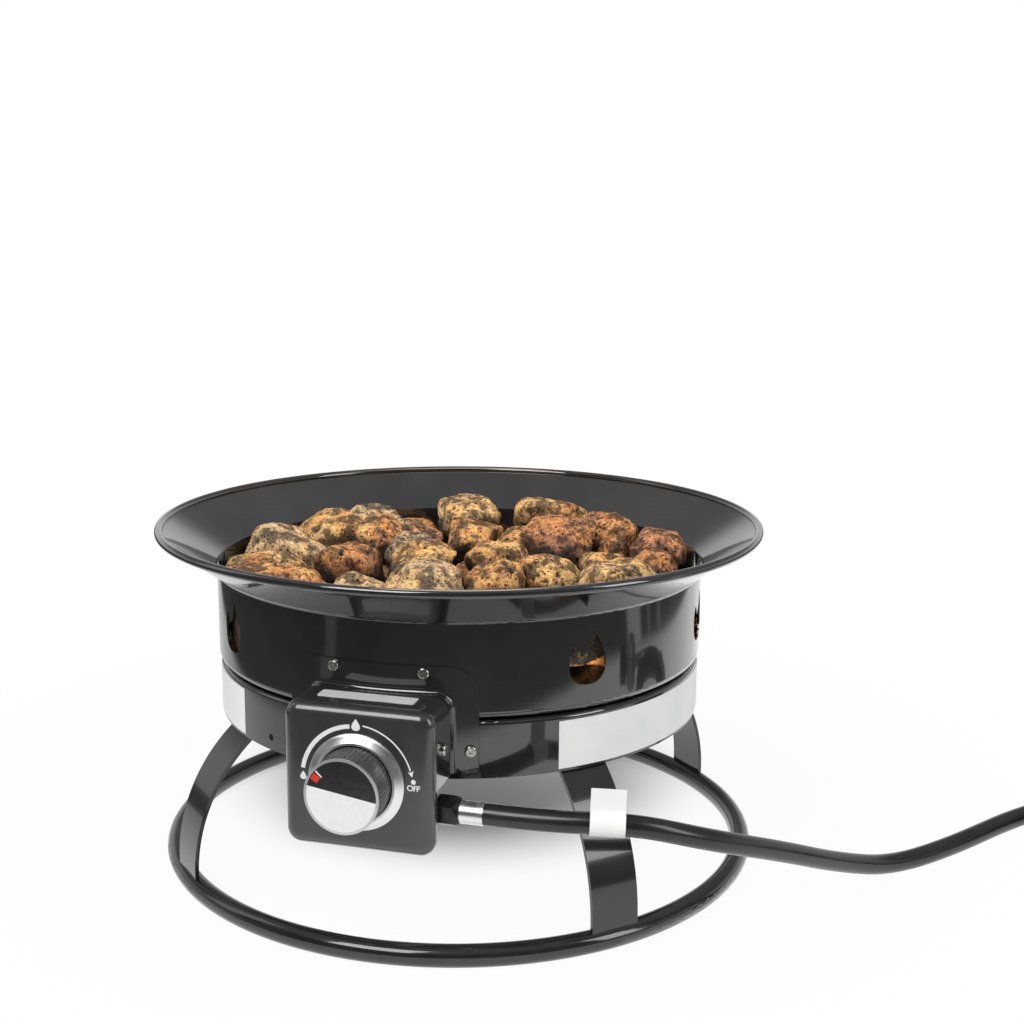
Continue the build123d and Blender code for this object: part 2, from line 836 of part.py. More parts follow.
def burner_lock_nut():
    body = extrude(RegularPolygon(lock_nut_radius, 6), -lock_nut_height)
    body -= Cylinder(mixer_radius + running_gap, cut_reach)
    return Pos(0, 0, shroud_top - sheet) * body


def band_label(span):
    """A sticker on the band, over a span of angles."""
    inside = shroud_radius + running_gap
    height = shroud_height - shroud_corner - label_margin
    middle = (span[0] + span[1]) / 2
    outline = Pos(inside + label_thick / 2, shroud_bottom + label_margin / 2 + height / 2) * Rectangle(
        label_thick, height)
    strip = revolve(Plane.XZ * outline, Axis.Z, span[1] - span[0])
    return Rot(0, 0, middle - 90 - (span[1] - span[0]) / 2) * strip


def biarc(start, start_tangent, end, end_tangent):
    """Two arcs that join two places with their tangents."""
    way = end - start
    both = start_tangent + end_tangent
    spread = 2 * (1 - start_tangent.dot(end_tangent))
    along = way.dot(both)
    reach = (math.sqrt(along ** 2 + spread * way.dot(way)) - along) / spread
    first = start + start_tangent * reach
    last = end - end_tangent * reach
    middle = (first + last) * 0.5
    first_arc = TangentArc(start, middle, tangent=start_tangent)
    return [first_arc, TangentArc(middle, end, tangent=last - first)]


def tangent_at(place, turn):
    step = 1e-5
    return (place(turn + step) - place(turn - step)).normalized()


def biarc_path(place, turns):
    """A path of arcs through a winding, from a function of the turns made so far."""
    quarters = round(4 * turns)
    stations = [turns * i / quarters for i in range(quarters + 1)]
    edges = []
    for here, there in zip(stations[:-1], stations[1:]):
        edges += biarc(place(here), tangent_at(place, here), place(there), tangent_at(place, there))
    return edges


def tube_along(edges, radius):
    path = Wire([edge for line in edges for edge in line.edges()])
    section = Plane(origin=path @ 0, z_dir=path % 0) * Circle(radius)
    return sweep(section, path=path)


def coil_place(turn):
    """The coil's centre line: in along the floor, up in the half turn where it reverses, out."""
    climb = turn - coil_layer_turns
    low = coil_lift + hose_radius
    if climb <= 0:
        radius = coil_radius - coil_pitch * turn
        height = low
    elif climb < coil_climb_turns:
        radius = coil_inner - coil_pitch * climb * (1 - climb / coil_climb_turns)
        share = climb / coil_climb_turns
        height = low + coil_layer_step * share ** 2 * (3 - 2 * share)
    else:
        radius = coil_inner + coil_pitch * (climb - coil_climb_turns)
        height = low + coil_layer_step
    angle = math.radians(coil_start_angle - 360.0 * turn)
    x, y = coil_centre
    return Vector(x + radius * math.cos(angle), y + radius * math.sin(angle), height)


def coil_ends():
    """The ends of the coil's tube, each straight for one diameter, and their directions."""
    first = tangent_at(coil_place, 0)
    last = tangent_at(coil_place, coil_turns)
    start = coil_place(0) - first * hose_diameter
    end = coil_place(coil_turns) + last * hose_diameter
    return start, first, end, last


def hose_coil():
    start, _, end, _ = coil_ends()
    edges = [Line(start, coil_place(0))]
    edges += biarc_path(coil_place, coil_turns)
    edges.append(Line(coil_place(coil_turns), end))
    print_coil_facts(sum(edge.length for edge in edges))
    return tube_along(edges, hose_radius)


def print_coil_facts(length):
    """The coil's length, and the least gap between its turns, measured on points."""
    per_turn = 240
    count = round(coil_turns * per_turn)
    points = np.array([tuple(coil_place(coil_turns * i / count)) for i in range(count + 1)])
    least = cut_reach
    for i in range(count + 1):
        others = points[i + per_turn // 2:]
        if len(others):
            least = min(least, float(np.linalg.norm(others - points[i], axis=1).min()))
    print(f"coil length {length:.1f}, least gap {least - hose_diameter:.2f}")


def hose_route():
    start, first, _, _ = coil_ends()
    leave = Vector(ferrule_end, -hose_line, inlet_height)
    straight = Vector(ferrule_end + hose_lead, -hose_line, inlet_height)
    low = hose_radius + hose_floor
    middle = [leave + Vector(aside, behind, (share - 1) * (inlet_height - low))
              for aside, behind, share in hose_points]
    return [leave, straight, *middle, start - first * hose_last_run, start]


def hose_path():
    """The free stretch's line: straight runs and arcs as large as the runs allow."""
    route = hose_route()
    radii = []
    for before, corner, after in zip(route[:-2], route[1:-1], route[2:]):
        turn = math.radians((corner - before).get_angle(after - corner))
        shorter = min((corner - before).length, (after - corner).length)
        radii.append(arc_share * shorter / math.tan(turn / 2))
    print("hose radii", [round(r) for r in radii])
    return FilletPolyline(*route, radius=radii)


def hose():
    line = hose_path()
    tube = tube_along([line], hose_radius)
    expected = math.pi * hose_radius ** 2 * line.length
    print(f"hose length {line.length:.1f}, volume over section times length {tube.volume / expected:.5f}")
    return tube


def hose_tag():
    """A paper tag: a wrap round the hose and a flag that stands on it."""
    inside = hose_radius + tag_wrap_gap
    outline = Circle(inside + tag_thick) - Circle(inside)
    flag = Pos(inside + tag_flag / 2, 0) * Rectangle(tag_flag, tag_thick)
    wrap = extrude(outline + flag, tag_length / 2, both=True)
    line = hose_path()
    share = tag_along / line.length
    return Plane(origin=line @ share, x_dir=(0, 0, 1), z_dir=line % share).location * wrap


def coil_tie():
    """A strap round the coil's turns."""
    outer = coil_radius + hose_radius + tie_gap
    inner = coil_inner - coil_pitch * coil_climb_turns / 4 - hose_radius - tie_gap
    height = coil_layer_step + hose_diameter + 2 * tie_gap
    room = RectangleRounded(outer - inner, height, tie_corner)
    strap = RectangleRounded(outer - inner + 2 * tie_thick, height + 2 * tie_thick, tie_corner + tie_thick)
    band = extrude(strap - room, tie_width / 2, both=True)
    x, y = coil_centre
    middle = (outer + inner) / 2
    centre = Pos(x, y, tie_thick + height / 2)
    return centre * Rot(0, 0, tie_angle) * Pos(middle, 0, 0) * Rot(90, 0, 0) * band


def regulator_place(along=0.0, height=None):
    """A place on the regulator's line, its x direction pointing away from the hose."""
    _, _, end, last = coil_ends()
    level = end.Z if height is None else height
    return Pos(end.X, end.Y, level) * Rot(0, 0, math.degrees(math.atan2(last.Y, last.X))) * Pos(along, 0, 0)


def port(along):
    """A place on the regulator's line, its z direction pointing away from the hose."""
    return regulator_place(along) * Rot(0, 90, 0)


def regulator_middle():
    return regulator_ferrule_length + regulator_lead + regulator_radius


def inlet_end():
    return regulator_middle() + regulator_radius + inlet_boss_length


def regulator_ferrule():
    return port(0) * Cylinder(regulator_ferrule_radius, regulator_ferrule_length, align=UP)


def regulator_body():
    height = regulator_split - regulator_floor
    cup = Cylinder(regulator_radius, height, align=UP)
    cup = fillet(cup.edges().sort_by(Axis.Z)[0], regulator_round)
    cup -= Pos(0, 0, height) * Cylinder(regulator_cavity, 2 * regulator_cavity_depth)
    body = regulator_place(regulator_middle(), regulator_floor) * cup
    outlet = Cylinder(outlet_boss_radius, regulator_lead + regulator_radius / 2, align=UP)
    inlet = Cylinder(inlet_boss_radius, regulator_radius / 2 + inlet_boss_length, align=DOWN)
    return body + port(regulator_ferrule_length) * outlet + port(inlet_end()) * inlet


def diaphragm():
    return regulator_place(regulator_middle(), regulator_split) * Cylinder(
        regulator_radius, diaphragm_thick, align=UP)


def regulator_bonnet():
    cover = Cone(regulator_radius, bonnet_top_radius, bonnet_height, align=UP)
    room = Cylinder(bonnet_top_radius - bonnet_wall, bonnet_height - bonnet_wall, align=UP)
    return regulator_place(regulator_middle(), regulator_split + diaphragm_thick) * (cover - room)


def regulator_spring():
    length = bonnet_height - bonnet_wall - 2 * spring_end_gap
    wire = helix_wire(regulator_spring_radius, regulator_spring_wire, length, regulator_spring_turns)
    height = regulator_split + diaphragm_thick + spring_end_gap
    return regulator_place(regulator_middle(), height) * wire


def vent_cap():
    cap = Cylinder(cap_radius, cap_height, align=UP)
    cap = fillet(cap.edges().sort_by(Axis.Z)[-1], cap_round)
    return regulator_place(regulator_middle(), regulator_split + diaphragm_thick + bonnet_height) * cap


def nut_start():
    """Where the tank nut's back face is on the regulator's line."""
    return inlet_end() + nut_end_gap


def inlet_nipple():
    """A neck that the tank nut turns on, a collar that keeps it on and a nose with a seal."""
    neck = nut_back + 2 * nut_end_gap
    body = Cylinder(nipple_neck, neck, align=UP)
    body += Pos(0, 0, neck) * Cylinder(nipple_collar, nipple_collar_length, align=UP)
    return port(inlet_end()) * (body + Cylinder(nipple_nose, nipple_length - seal_length, align=UP))


def nipple_seal():
    seal = Cylinder(nipple_nose, seal_length, align=UP)
    seal = fillet(seal.edges().sort_by(Axis.Z)[-1], seal_round)
    return port(inlet_end() + nipple_length - seal_length) * seal


def tank_nut():
    """The hand nut that screws on the tank's valve, with grip lobes."""
    outline = Circle(nut_outer)
    lobe = Pos(nut_outer, 0) * Circle(nut_lobe_radius)
    outline += [Rot(0, 0, a) * lobe for a in ring_of(nut_lobes)]
    body = extrude(outline, nut_length)
    body -= Pos(0, 0, nut_back) * Cylinder(nut_bore, nut_length, align=UP)
    body -= Cylinder(nipple_neck + running_gap, cut_reach)
    return port(nut_start()) * body


def bars_among_rocks():
    """Round bars that cover the burner, the bolts' heads and the screws' ends: both ends and the radius."""
    rise = np.array([0, 0, 1])
    turns = [2 * math.pi * i / burner_segments for i in range(burner_segments + 1)]
    circle = [(burner_radius * math.sin(turn), -burner_radius * math.cos(turn)) for turn in turns]
    ring = [np.array([x, y, burner_height]) for x, y in circle]
    sag = burner_radius * (1 - math.cos(math.pi / burner_segments))
    bars = [(start, end, burner_tube + sag) for start, end in zip(ring[:-1], ring[1:])]
    for angle in ring_of(spoke_count, spoke_first):
        end = np.array(tuple(outward(angle, burner_radius, burner_height).position))
        bars.append((rise * burner_height, end, spoke_radius))
    hub_cover = math.hypot(hub_radius, hub_height / 2)
    bars.append((rise * floor_top, rise * (floor_top + hub_height / 2), hub_cover))
    for place in bowl_bolt_places(floor_top):
        head = np.array(tuple(place.position))
        bars.append((head, head + rise * bolt_head_height, bolt_head_radius))
    tips = flange_screw_places(flange_outside - screw_length)
    for start, end in zip(flange_screw_places(flange_outside), tips):
        bars.append((np.array(tuple(start.position)), np.array(tuple(end.position)), screw_radius))
    return bars


def nearest_on_bar(start, end, point):
    way = end - start
    share = np.clip((point - start) @ way / (way @ way), 0, 1)
    return start + way * share


def scatter(rng, count):
    """Random places for the rocks' middles, in the bowl above the burner's centre line."""
    reach = heap_reach * np.sqrt(rng.uniform(0, 1, count))
    turn = rng.uniform(0, 2 * math.pi, count)
    height = rng.uniform(burner_height, heap_level, count)
    return np.stack([reach * np.cos(turn), reach * np.sin(turn), height], axis=1)


def rock_middles(rng):
    """Middles of the rocks, spread evenly and pushed clear of the burner."""
    volume = math.pi * heap_reach ** 2 * (heap_level - burner_height)
    count = round(volume / (rock_packing * rock_size ** 3))
    middles = scatter(rng, count)
    samples = scatter(rng, count * rock_samples)
    for _ in range(rock_rounds):
        nearest = cKDTree(middles).query(samples)[1]
        middles = np.array([samples[nearest == i].mean(axis=0) for i in range(count)])
    for i in range(count):
        for start, end, radius in bars_among_rocks():
            touch = nearest_on_bar(start, end, middles[i])
            away = middles[i] - touch
            short = radius + rock_core - np.linalg.norm(away)
            if short > 0:
                middles[i] += away / np.linalg.norm(away) * short
    return middles


def facet_normals(rng):
    """Directions spread evenly over a ball, turned at random."""
    k = np.arange(rock_facets) + 0.5
    polar = np.arccos(1 - 2 * k / rock_facets)
    turn = math.pi * (1 + math.sqrt(5)) * k
    even = np.stack([np.cos(turn) * np.sin(polar), np.sin(turn) * np.sin(polar), np.cos(polar)], axis=1)
    turned, _ = np.linalg.qr(rng.normal(size=(3, 3)))
    return even @ turned


def rock_shape(rng):
    """The half axes of a long, flat lump that lies at a random turn and tilt, as rows."""
    turn, lean = rng.uniform(0, 2 * math.pi), math.radians(rng.uniform(-rock_tilt_angle, rock_tilt_angle))
    long_way = np.array([math.cos(turn) * math.cos(lean), math.sin(turn) * math.cos(lean), math.sin(lean)])
    across = np.array([-math.sin(turn), math.cos(turn), 0])
    half = rock_size / 2 * rng.uniform(1 - rock_size_spread, 1 + rock_size_spread)
    flat_way = np.cross(long_way, across)
    return half * np.array([long_way * rock_long_share, across, flat_way * rock_flat_share])


def reach_of(shape, normal):
    """How far a lump reaches from its middle in a direction."""
    return float(np.linalg.norm(shape @ normal))


def grow_to_touch(middles, shapes):
    """Grows each lump until it meets enough of its neighbours."""
    for i, middle in enumerate(middles):
        others = [j for j in range(len(middles)) if j != i]
        while True:
            touching = 0
            for j in others:
                way = middles[j] - middle
                distance = np.linalg.norm(way)
                normal = way / distance
                both = reach_of(shapes[i], normal) + reach_of(shapes[j], normal)
                touching += both * rock_rough > distance
            if touching >= rock_contacts:
                break
            shapes[i] = shapes[i] * rock_growth


def rock_planes(rng, index, middles, shapes):
    """Planes round one rock, as normals with limits: its own facets, the planes it shares with
    its neighbours, the burner, the wall, the floor and the top of the heap."""
    middle, shape = middles[index], shapes[index]
    planes = [(n, n @ middle + reach_of(shape, n) * rng.uniform(rock_rough, 1)) for n in facet_normals(rng)]
    for other, other_shape in zip(np.delete(middles, index, axis=0), shapes[:index] + shapes[index + 1:]):
        way = other - middle
        distance = np.linalg.norm(way)
        normal = way / distance
        reach = reach_of(shape, normal)
        share = reach / (reach + reach_of(other_shape, normal))
        planes.append((normal, normal @ middle + distance * share - rock_gap / 2))
    for start, end, radius in bars_among_rocks():
        touch = nearest_on_bar(start, end, middle)
        normal = (touch - middle) / np.linalg.norm(touch - middle)
        planes.append((normal, normal @ touch - radius - rock_gap))
    for angle in ring_of(rock_wall_sides):
        turn = math.radians(angle)
        inside = heap_reach * math.cos(math.pi / rock_wall_sides)
        planes.append((np.array([math.cos(turn), math.sin(turn), 0]), inside))
    planes.append((np.array([0, 0, -1]), -floor_top - rock_gap))
    planes.append((np.array([0, 0, 1]), rim_top - rock_top_drop))
    return planes


def rock(rng, index, middles, shapes):
    planes = rock_planes(rng, index, middles, shapes)
    halves = np.array([[*normal, -limit] for normal, limit in planes])
    corners = HalfspaceIntersection(halves, middles[index]).intersections
    _, kept = np.unique(np.round(corners, 4), axis=0, return_index=True)
    return ConvexPolyhedron(corners[kept].tolist())


def lava_rocks():
    """All the rocks, as four groups of separate lumps."""
    rng = np.random.default_rng(rock_seed)
    middles = rock_middles(rng)
    shapes = [rock_shape(rng) for _ in middles]
    grow_to_touch(middles, shapes)
    groups = {}
    for i, middle in enumerate(middles):
        layer = "upper" if middle[2] > middles[:, 2].mean() else "lower"
        side = "outer" if math.hypot(middle[0], middle[1]) > heap_reach / math.sqrt(2) else "inner"
        groups.setdefault(f"lava_rocks_{layer}_{side}", []).append(rock(rng, i, middles, shapes))
    highest = max(lump.bounding_box().max.Z for made in groups.values() for lump in made)
    print(f"lava rocks {len(middles)}, highest {highest:.1f}")
    return {name: Compound(children=made) for name, made in groups.items()}


def all_parts():
    parts = {
        "base_ring": base_ring(),
        "base_shroud": base_shroud(),
        "leg_bolts": leg_bolts(),
        "leg_nuts": leg_nuts(),
        "bowl_spacers": bowl_spacers(),
        "bowl_bolts": bowl_bolts(),
        "bowl_nuts": bowl_nuts(),
        "bowl_floor": bowl_floor(),
        "drum_wall": drum_wall(),
        "rim_flare": rim_flare(),
        "control_panel": control_panel(),
        "panel_top_plate": panel_top_plate(),
        "control_bracket": control_bracket(),
        "bracket_screws": bracket_screws(),
        "strap_screws": strap_screws(),
        "valve_strap": valve_strap(),
        "dial_bezel": dial_bezel(),
        "knob_cap": knob_cap(),
        "knob_trim_ring": knob_trim_ring(),
        "knob_face": knob_face(),
        "panel_nut": panel_nut(),
        "valve_bonnet": valve_bonnet(),
        "valve_body": valve_body(),
        "valve_stem": valve_stem(),
        "stem_collar": stem_collar(),
        "stem_spring": stem_spring(),
        "inlet_elbow": inlet_elbow(),
        "orifice_jet": orifice_jet(),
        "mixer_tube": mixer_tube(),
        "burner_ring": burner_ring(),
        "burner_manifold": burner_manifold(),
        "burner_lock_nut": burner_lock_nut(),
        "hose_nut": hose_nut(),
        "hose_ferrule": hose_ferrule(),
        "hose": hose(),
        "hose_tag": hose_tag(),
        "hose_coil": hose_coil(),
        "coil_tie": coil_tie(),
        "regulator_ferrule": regulator_ferrule(),
        "regulator_body": regulator_body(),
        "diaphragm": diaphragm(),
        "regulator_bonnet": regulator_bonnet(),
        "regulator_spring": regulator_spring(),
        "vent_cap": vent_cap(),
        "inlet_nipple": inlet_nipple(),
        "nipple_seal": nipple_seal(),
        "tank_nut": tank_nut(),
    }
    for name, angle in leg_names.items():
        parts[name] = Rot(0, 0, angle) * leg()
    for name, span in label_spans.items():
        parts[name] = band_label(span)
    parts.update(lava_rocks())
    return parts


os.makedirs("parts", exist_ok=True)
for name, shape in all_parts().items():
    export_step(shape, f"parts/{name}.step")
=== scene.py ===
import math
import bmesh
import bpy
import numpy as np
from mathutils import Matrix, Vector, noise


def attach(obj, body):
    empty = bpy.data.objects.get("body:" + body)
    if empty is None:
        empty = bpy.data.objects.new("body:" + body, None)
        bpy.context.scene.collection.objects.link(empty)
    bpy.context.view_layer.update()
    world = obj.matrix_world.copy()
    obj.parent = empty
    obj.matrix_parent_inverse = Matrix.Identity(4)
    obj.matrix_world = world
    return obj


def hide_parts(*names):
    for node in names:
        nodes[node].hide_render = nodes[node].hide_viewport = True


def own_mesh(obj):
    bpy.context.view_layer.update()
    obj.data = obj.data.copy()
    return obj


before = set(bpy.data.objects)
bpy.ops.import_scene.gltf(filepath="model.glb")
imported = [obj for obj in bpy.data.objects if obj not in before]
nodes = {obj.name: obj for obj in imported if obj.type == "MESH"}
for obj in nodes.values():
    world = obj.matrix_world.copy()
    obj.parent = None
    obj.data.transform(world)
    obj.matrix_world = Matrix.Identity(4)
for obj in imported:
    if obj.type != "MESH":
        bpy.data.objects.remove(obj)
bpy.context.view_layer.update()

# Portable propane fire pit. Metres, +Z up, the control box faces -Y. Each CAD node gets a
# procedural material, and the rocks, hose, hose nut, a dark disc of painted shade behind the
# vent hole, dial print, knob face and knob spring are made here.


# Materials

def new_material(name, **sockets):
    """A material with one shader, whose constant values are set on its own sockets."""
    made = bpy.data.materials.new(name)
    made.use_nodes = True
    shader = made.node_tree.nodes["Principled BSDF"]
    for socket, value in sockets.items():
        shader.inputs[socket.replace("_", " ")].default_value = value
    return made, made.node_tree, shader


def add(tree, kind, **settings):
    node = tree.nodes.new(kind)
    for name, value in settings.items():
        setattr(node, name, value)
    return node


def place_of(tree, stretch=(1, 1, 1)):
    """The place on the piece, in metres, with a stretch for grain that runs one way."""
    coords = add(tree, "ShaderNodeTexCoord")
    mapping = add(tree, "ShaderNodeMapping")
    mapping.inputs["Scale"].default_value = stretch
    tree.links.new(coords.outputs["Object"], mapping.inputs["Vector"])
    return mapping.outputs["Vector"]


def cloud(tree, scale, detail=4.0, rough=0.55, place=None):
    texture = add(tree, "ShaderNodeTexNoise")
    texture.inputs["Scale"].default_value = scale
    texture.inputs["Detail"].default_value = detail
    texture.inputs["Roughness"].default_value = rough
    tree.links.new(place or place_of(tree), texture.inputs["Vector"])
    return texture.outputs["Fac"]


def cells(tree, scale, place=None):
    texture = add(tree, "ShaderNodeTexVoronoi")
    texture.inputs["Scale"].default_value = scale
    tree.links.new(place or place_of(tree), texture.inputs["Vector"])
    return texture.outputs["Distance"]


def ramp(tree, value, stops):
    """Colours, or greys from single numbers, by a value from 0 to 1."""
    node = add(tree, "ShaderNodeValToRGB")
    points = node.color_ramp.elements
    while len(points) < len(stops):
        points.new(0.5)
    for point, (where, colour) in zip(points, stops):
        point.position = where
        point.color = (*colour, 1) if hasattr(colour, "__len__") else (colour, colour, colour, 1)
    tree.links.new(value, node.inputs["Fac"])
    return node.outputs["Color"]


def math_node(tree, operation, *values):
    node = add(tree, "ShaderNodeMath", operation=operation)
    for socket, value in zip(node.inputs, values):
        if isinstance(value, (int, float)):
            socket.default_value = value
        else:
            tree.links.new(value, socket)
    return node.outputs["Value"]


def mix(tree, share, first, second, blend="MIX"):
    node = add(tree, "ShaderNodeMix", data_type="RGBA", blend_type=blend)
    for socket, value in ((node.inputs[0], share), (node.inputs[6], first), (node.inputs[7], second)):
        if isinstance(value, (int, float)):
            socket.default_value = value
        elif isinstance(value, tuple):
            socket.default_value = (*value, 1)
        else:
            tree.links.new(value, socket)
    return node.outputs[2]


def bump(tree, height, depth, strength=1.0, under=None):
    """A normal from a height texture whose full range is this deep."""
    node = add(tree, "ShaderNodeBump")
    node.inputs["Distance"].default_value = depth
    node.inputs["Strength"].default_value = strength
    tree.links.new(height, node.inputs["Height"])
    if under:
        tree.links.new(under, node.inputs["Normal"])
    return node.outputs["Normal"]


def finish_surface(tree, shader, colour=None, rough=None, normal=None):
    for socket, value in (("Base Color", colour), ("Roughness", rough), ("Normal", normal)):
        if value is not None:
            tree.links.new(value, shader.inputs[socket])


def enamel(name, gloss):
    """Gloss black enamel with a faint orange peel and a thin film of dust."""
    made, tree, shader = new_material(name, Coat_Weight=gloss, Coat_Roughness=0.03, Coat_IOR=1.65)
    dust = cloud(tree, 28, 8, 0.6)
    colour = ramp(tree, dust, [(0.35, (0.013, 0.013, 0.014)), (0.75, (0.023, 0.023, 0.024))])
    rough = ramp(tree, cloud(tree, 9, 5), [(0.3, 0.09), (0.75, 0.18)])
    peel = bump(tree, cloud(tree, 300, 1, 0.3), 0.00010, 0.05)
    finish_surface(tree, shader, colour, rough, peel)
    return made


def panel_paint():
    """Dark satin paint on the control box."""
    made, tree, shader = new_material("panel_paint_finish", Coat_Weight=0.9, Coat_Roughness=0.10)
    colour = ramp(tree, cloud(tree, 45, 7), [(0.3, (0.026, 0.026, 0.028)), (0.75, (0.040, 0.040, 0.042))])
    rough = ramp(tree, cloud(tree, 18, 5), [(0.3, 0.20), (0.75, 0.30)])
    finish_surface(tree, shader, colour, rough, bump(tree, cloud(tree, 900, 2), 0.00010, 0.12))
    return made


def plated_steel():
    made, tree, shader = new_material("plated_steel_finish", Metallic=1.0)
    colour = ramp(tree, cloud(tree, 160, 6), [(0.3, (0.50, 0.49, 0.46)), (0.7, (0.72, 0.71, 0.69))])
    rough = ramp(tree, cloud(tree, 300, 5), [(0.3, 0.16), (0.7, 0.34)])
    finish_surface(tree, shader, colour, rough, bump(tree, cloud(tree, 1500, 2), 0.00005, 0.2))
    return made


def bright_trim():
    """Bright metal with a fine turned grain."""
    made, tree, shader = new_material("bright_trim_finish", Metallic=1.0, Anisotropic=0.5)
    grain = cloud(tree, 900, 3, 0.6, place_of(tree, (1, 6, 1)))
    colour = ramp(tree, grain, [(0.25, (0.82, 0.82, 0.82)), (0.75, (0.96, 0.96, 0.96))])
    rough = ramp(tree, cloud(tree, 60, 5), [(0.3, 0.30), (0.7, 0.40)])
    finish_surface(tree, shader, colour, rough, bump(tree, grain, 0.00004, 0.15))
    return made


def knob_plastic():
    """Dark metallised plastic with a grain along the knob."""
    made, tree, shader = new_material("knob_plastic_finish", Metallic=0.55)
    grain = cloud(tree, 800, 3, 0.6, place_of(tree, (1, 0.12, 1)))
    colour = ramp(tree, grain, [(0.25, (0.075, 0.075, 0.078)), (0.75, (0.19, 0.19, 0.195))])
    rough = ramp(tree, cloud(tree, 120, 4), [(0.3, 0.28), (0.7, 0.40)])
    finish_surface(tree, shader, colour, rough, bump(tree, grain, 0.00006, 0.2))
    return made


def brass():
    made, tree, shader = new_material("brass_finish", Metallic=1.0)
    colour = ramp(tree, cloud(tree, 90, 6), [(0.3, (0.46, 0.29, 0.10)), (0.7, (0.68, 0.47, 0.19))])
    rough = ramp(tree, cloud(tree, 220, 4), [(0.3, 0.20), (0.7, 0.38)])
    finish_surface(tree, shader, colour, rough, bump(tree, cloud(tree, 1200, 2), 0.00005, 0.2))
    return made


def burner_steel():
    """Steel tinted by heat, from straw through brown to blue grey."""
    made, tree, shader = new_material("burner_steel_finish", Metallic=1.0)
    heat = cloud(tree, 22, 6)
    colour = ramp(tree, heat, [(0.25, (0.16, 0.15, 0.16)), (0.42, (0.30, 0.22, 0.14)),
                               (0.56, (0.22, 0.13, 0.10)), (0.72, (0.10, 0.11, 0.16))])
    rough = ramp(tree, cloud(tree, 80, 5), [(0.3, 0.35), (0.7, 0.60)])
    finish_surface(tree, shader, colour, rough, bump(tree, cloud(tree, 700, 3), 0.00010, 0.3))
    return made


def hose_rubber():
    """Satin black rubber, a little rubbed."""
    made, tree, shader = new_material("hose_rubber_finish", Specular_IOR_Level=0.55)
    rub = cloud(tree, 30, 7)
    colour = ramp(tree, rub, [(0.3, (0.0115, 0.0115, 0.0120)), (0.8, (0.026, 0.026, 0.027))])
    rough = ramp(tree, cloud(tree, 55, 5), [(0.3, 0.17), (0.7, 0.27)])
    finish_surface(tree, shader, colour, rough, bump(tree, cloud(tree, 1400, 2), 0.00010, 0.25))
    return made


def black_nut():
    made, tree, shader = new_material("black_nut_finish", Metallic=0.3)
    colour = ramp(tree, cloud(tree, 200, 6), [(0.3, (0.008, 0.008, 0.009)), (0.75, (0.028, 0.028, 0.030))])
    rough = ramp(tree, cloud(tree, 150, 5), [(0.3, 0.22), (0.7, 0.40)])
    finish_surface(tree, shader, colour, rough, bump(tree, cloud(tree, 1500, 2), 0.00006, 0.2))
    return made


def paper():
    """Bare coated paper with faint fibres and creases."""
    made, tree, shader = new_material("paper_finish")
    fibre = cloud(tree, 1300, 5, 0.6)
    colour = ramp(tree, cloud(tree, 35, 6), [(0.3, (0.83, 0.84, 0.85)), (0.7, (0.92, 0.92, 0.91))])
    rough = ramp(tree, fibre, [(0.3, 0.38), (0.7, 0.52)])
    crease = bump(tree, cloud(tree, 55, 3), 0.0006, 0.25)
    finish_surface(tree, shader, colour, rough, bump(tree, fibre, 0.00005, 0.2, crease))
    return made


def cast_alloy():
    """Die cast alloy with a fine cast skin."""
    made, tree, shader = new_material("cast_alloy_finish", Metallic=0.85)
    colour = ramp(tree, cloud(tree, 60, 7), [(0.3, (0.24, 0.24, 0.25)), (0.7, (0.40, 0.40, 0.41))])
    rough = ramp(tree, cloud(tree, 140, 5), [(0.3, 0.40), (0.7, 0.58)])
    finish_surface(tree, shader, colour, rough, bump(tree, cloud(tree, 1100, 3), 0.00020, 0.3))
    return made


def silver_plate():
    """Matt silver foil, brushed along its length."""
    made, tree, shader = new_material("silver_plate_finish", Metallic=0.1)
    grain = cloud(tree, 700, 4, 0.6, place_of(tree, (0.08, 1, 1)))
    colour = ramp(tree, grain, [(0.3, (0.72, 0.72, 0.73)), (0.7, (0.93, 0.93, 0.94))])
    rough = ramp(tree, cloud(tree, 120, 4), [(0.3, 0.28), (0.7, 0.42)])
    finish_surface(tree, shader, colour, rough, bump(tree, grain, 0.00004, 0.2))
    return made


def black_plastic():
    """Moulded black plastic with a spark eroded grain."""
    made, tree, shader = new_material("black_plastic_finish")
    colour = ramp(tree, cloud(tree, 70, 6), [(0.3, (0.012, 0.012, 0.012)), (0.7, (0.024, 0.024, 0.024))])
    rough = ramp(tree, cloud(tree, 110, 4), [(0.3, 0.42), (0.7, 0.58)])
    finish_surface(tree, shader, colour, rough, bump(tree, cells(tree, 1600), 0.00012, 0.3))
    return made


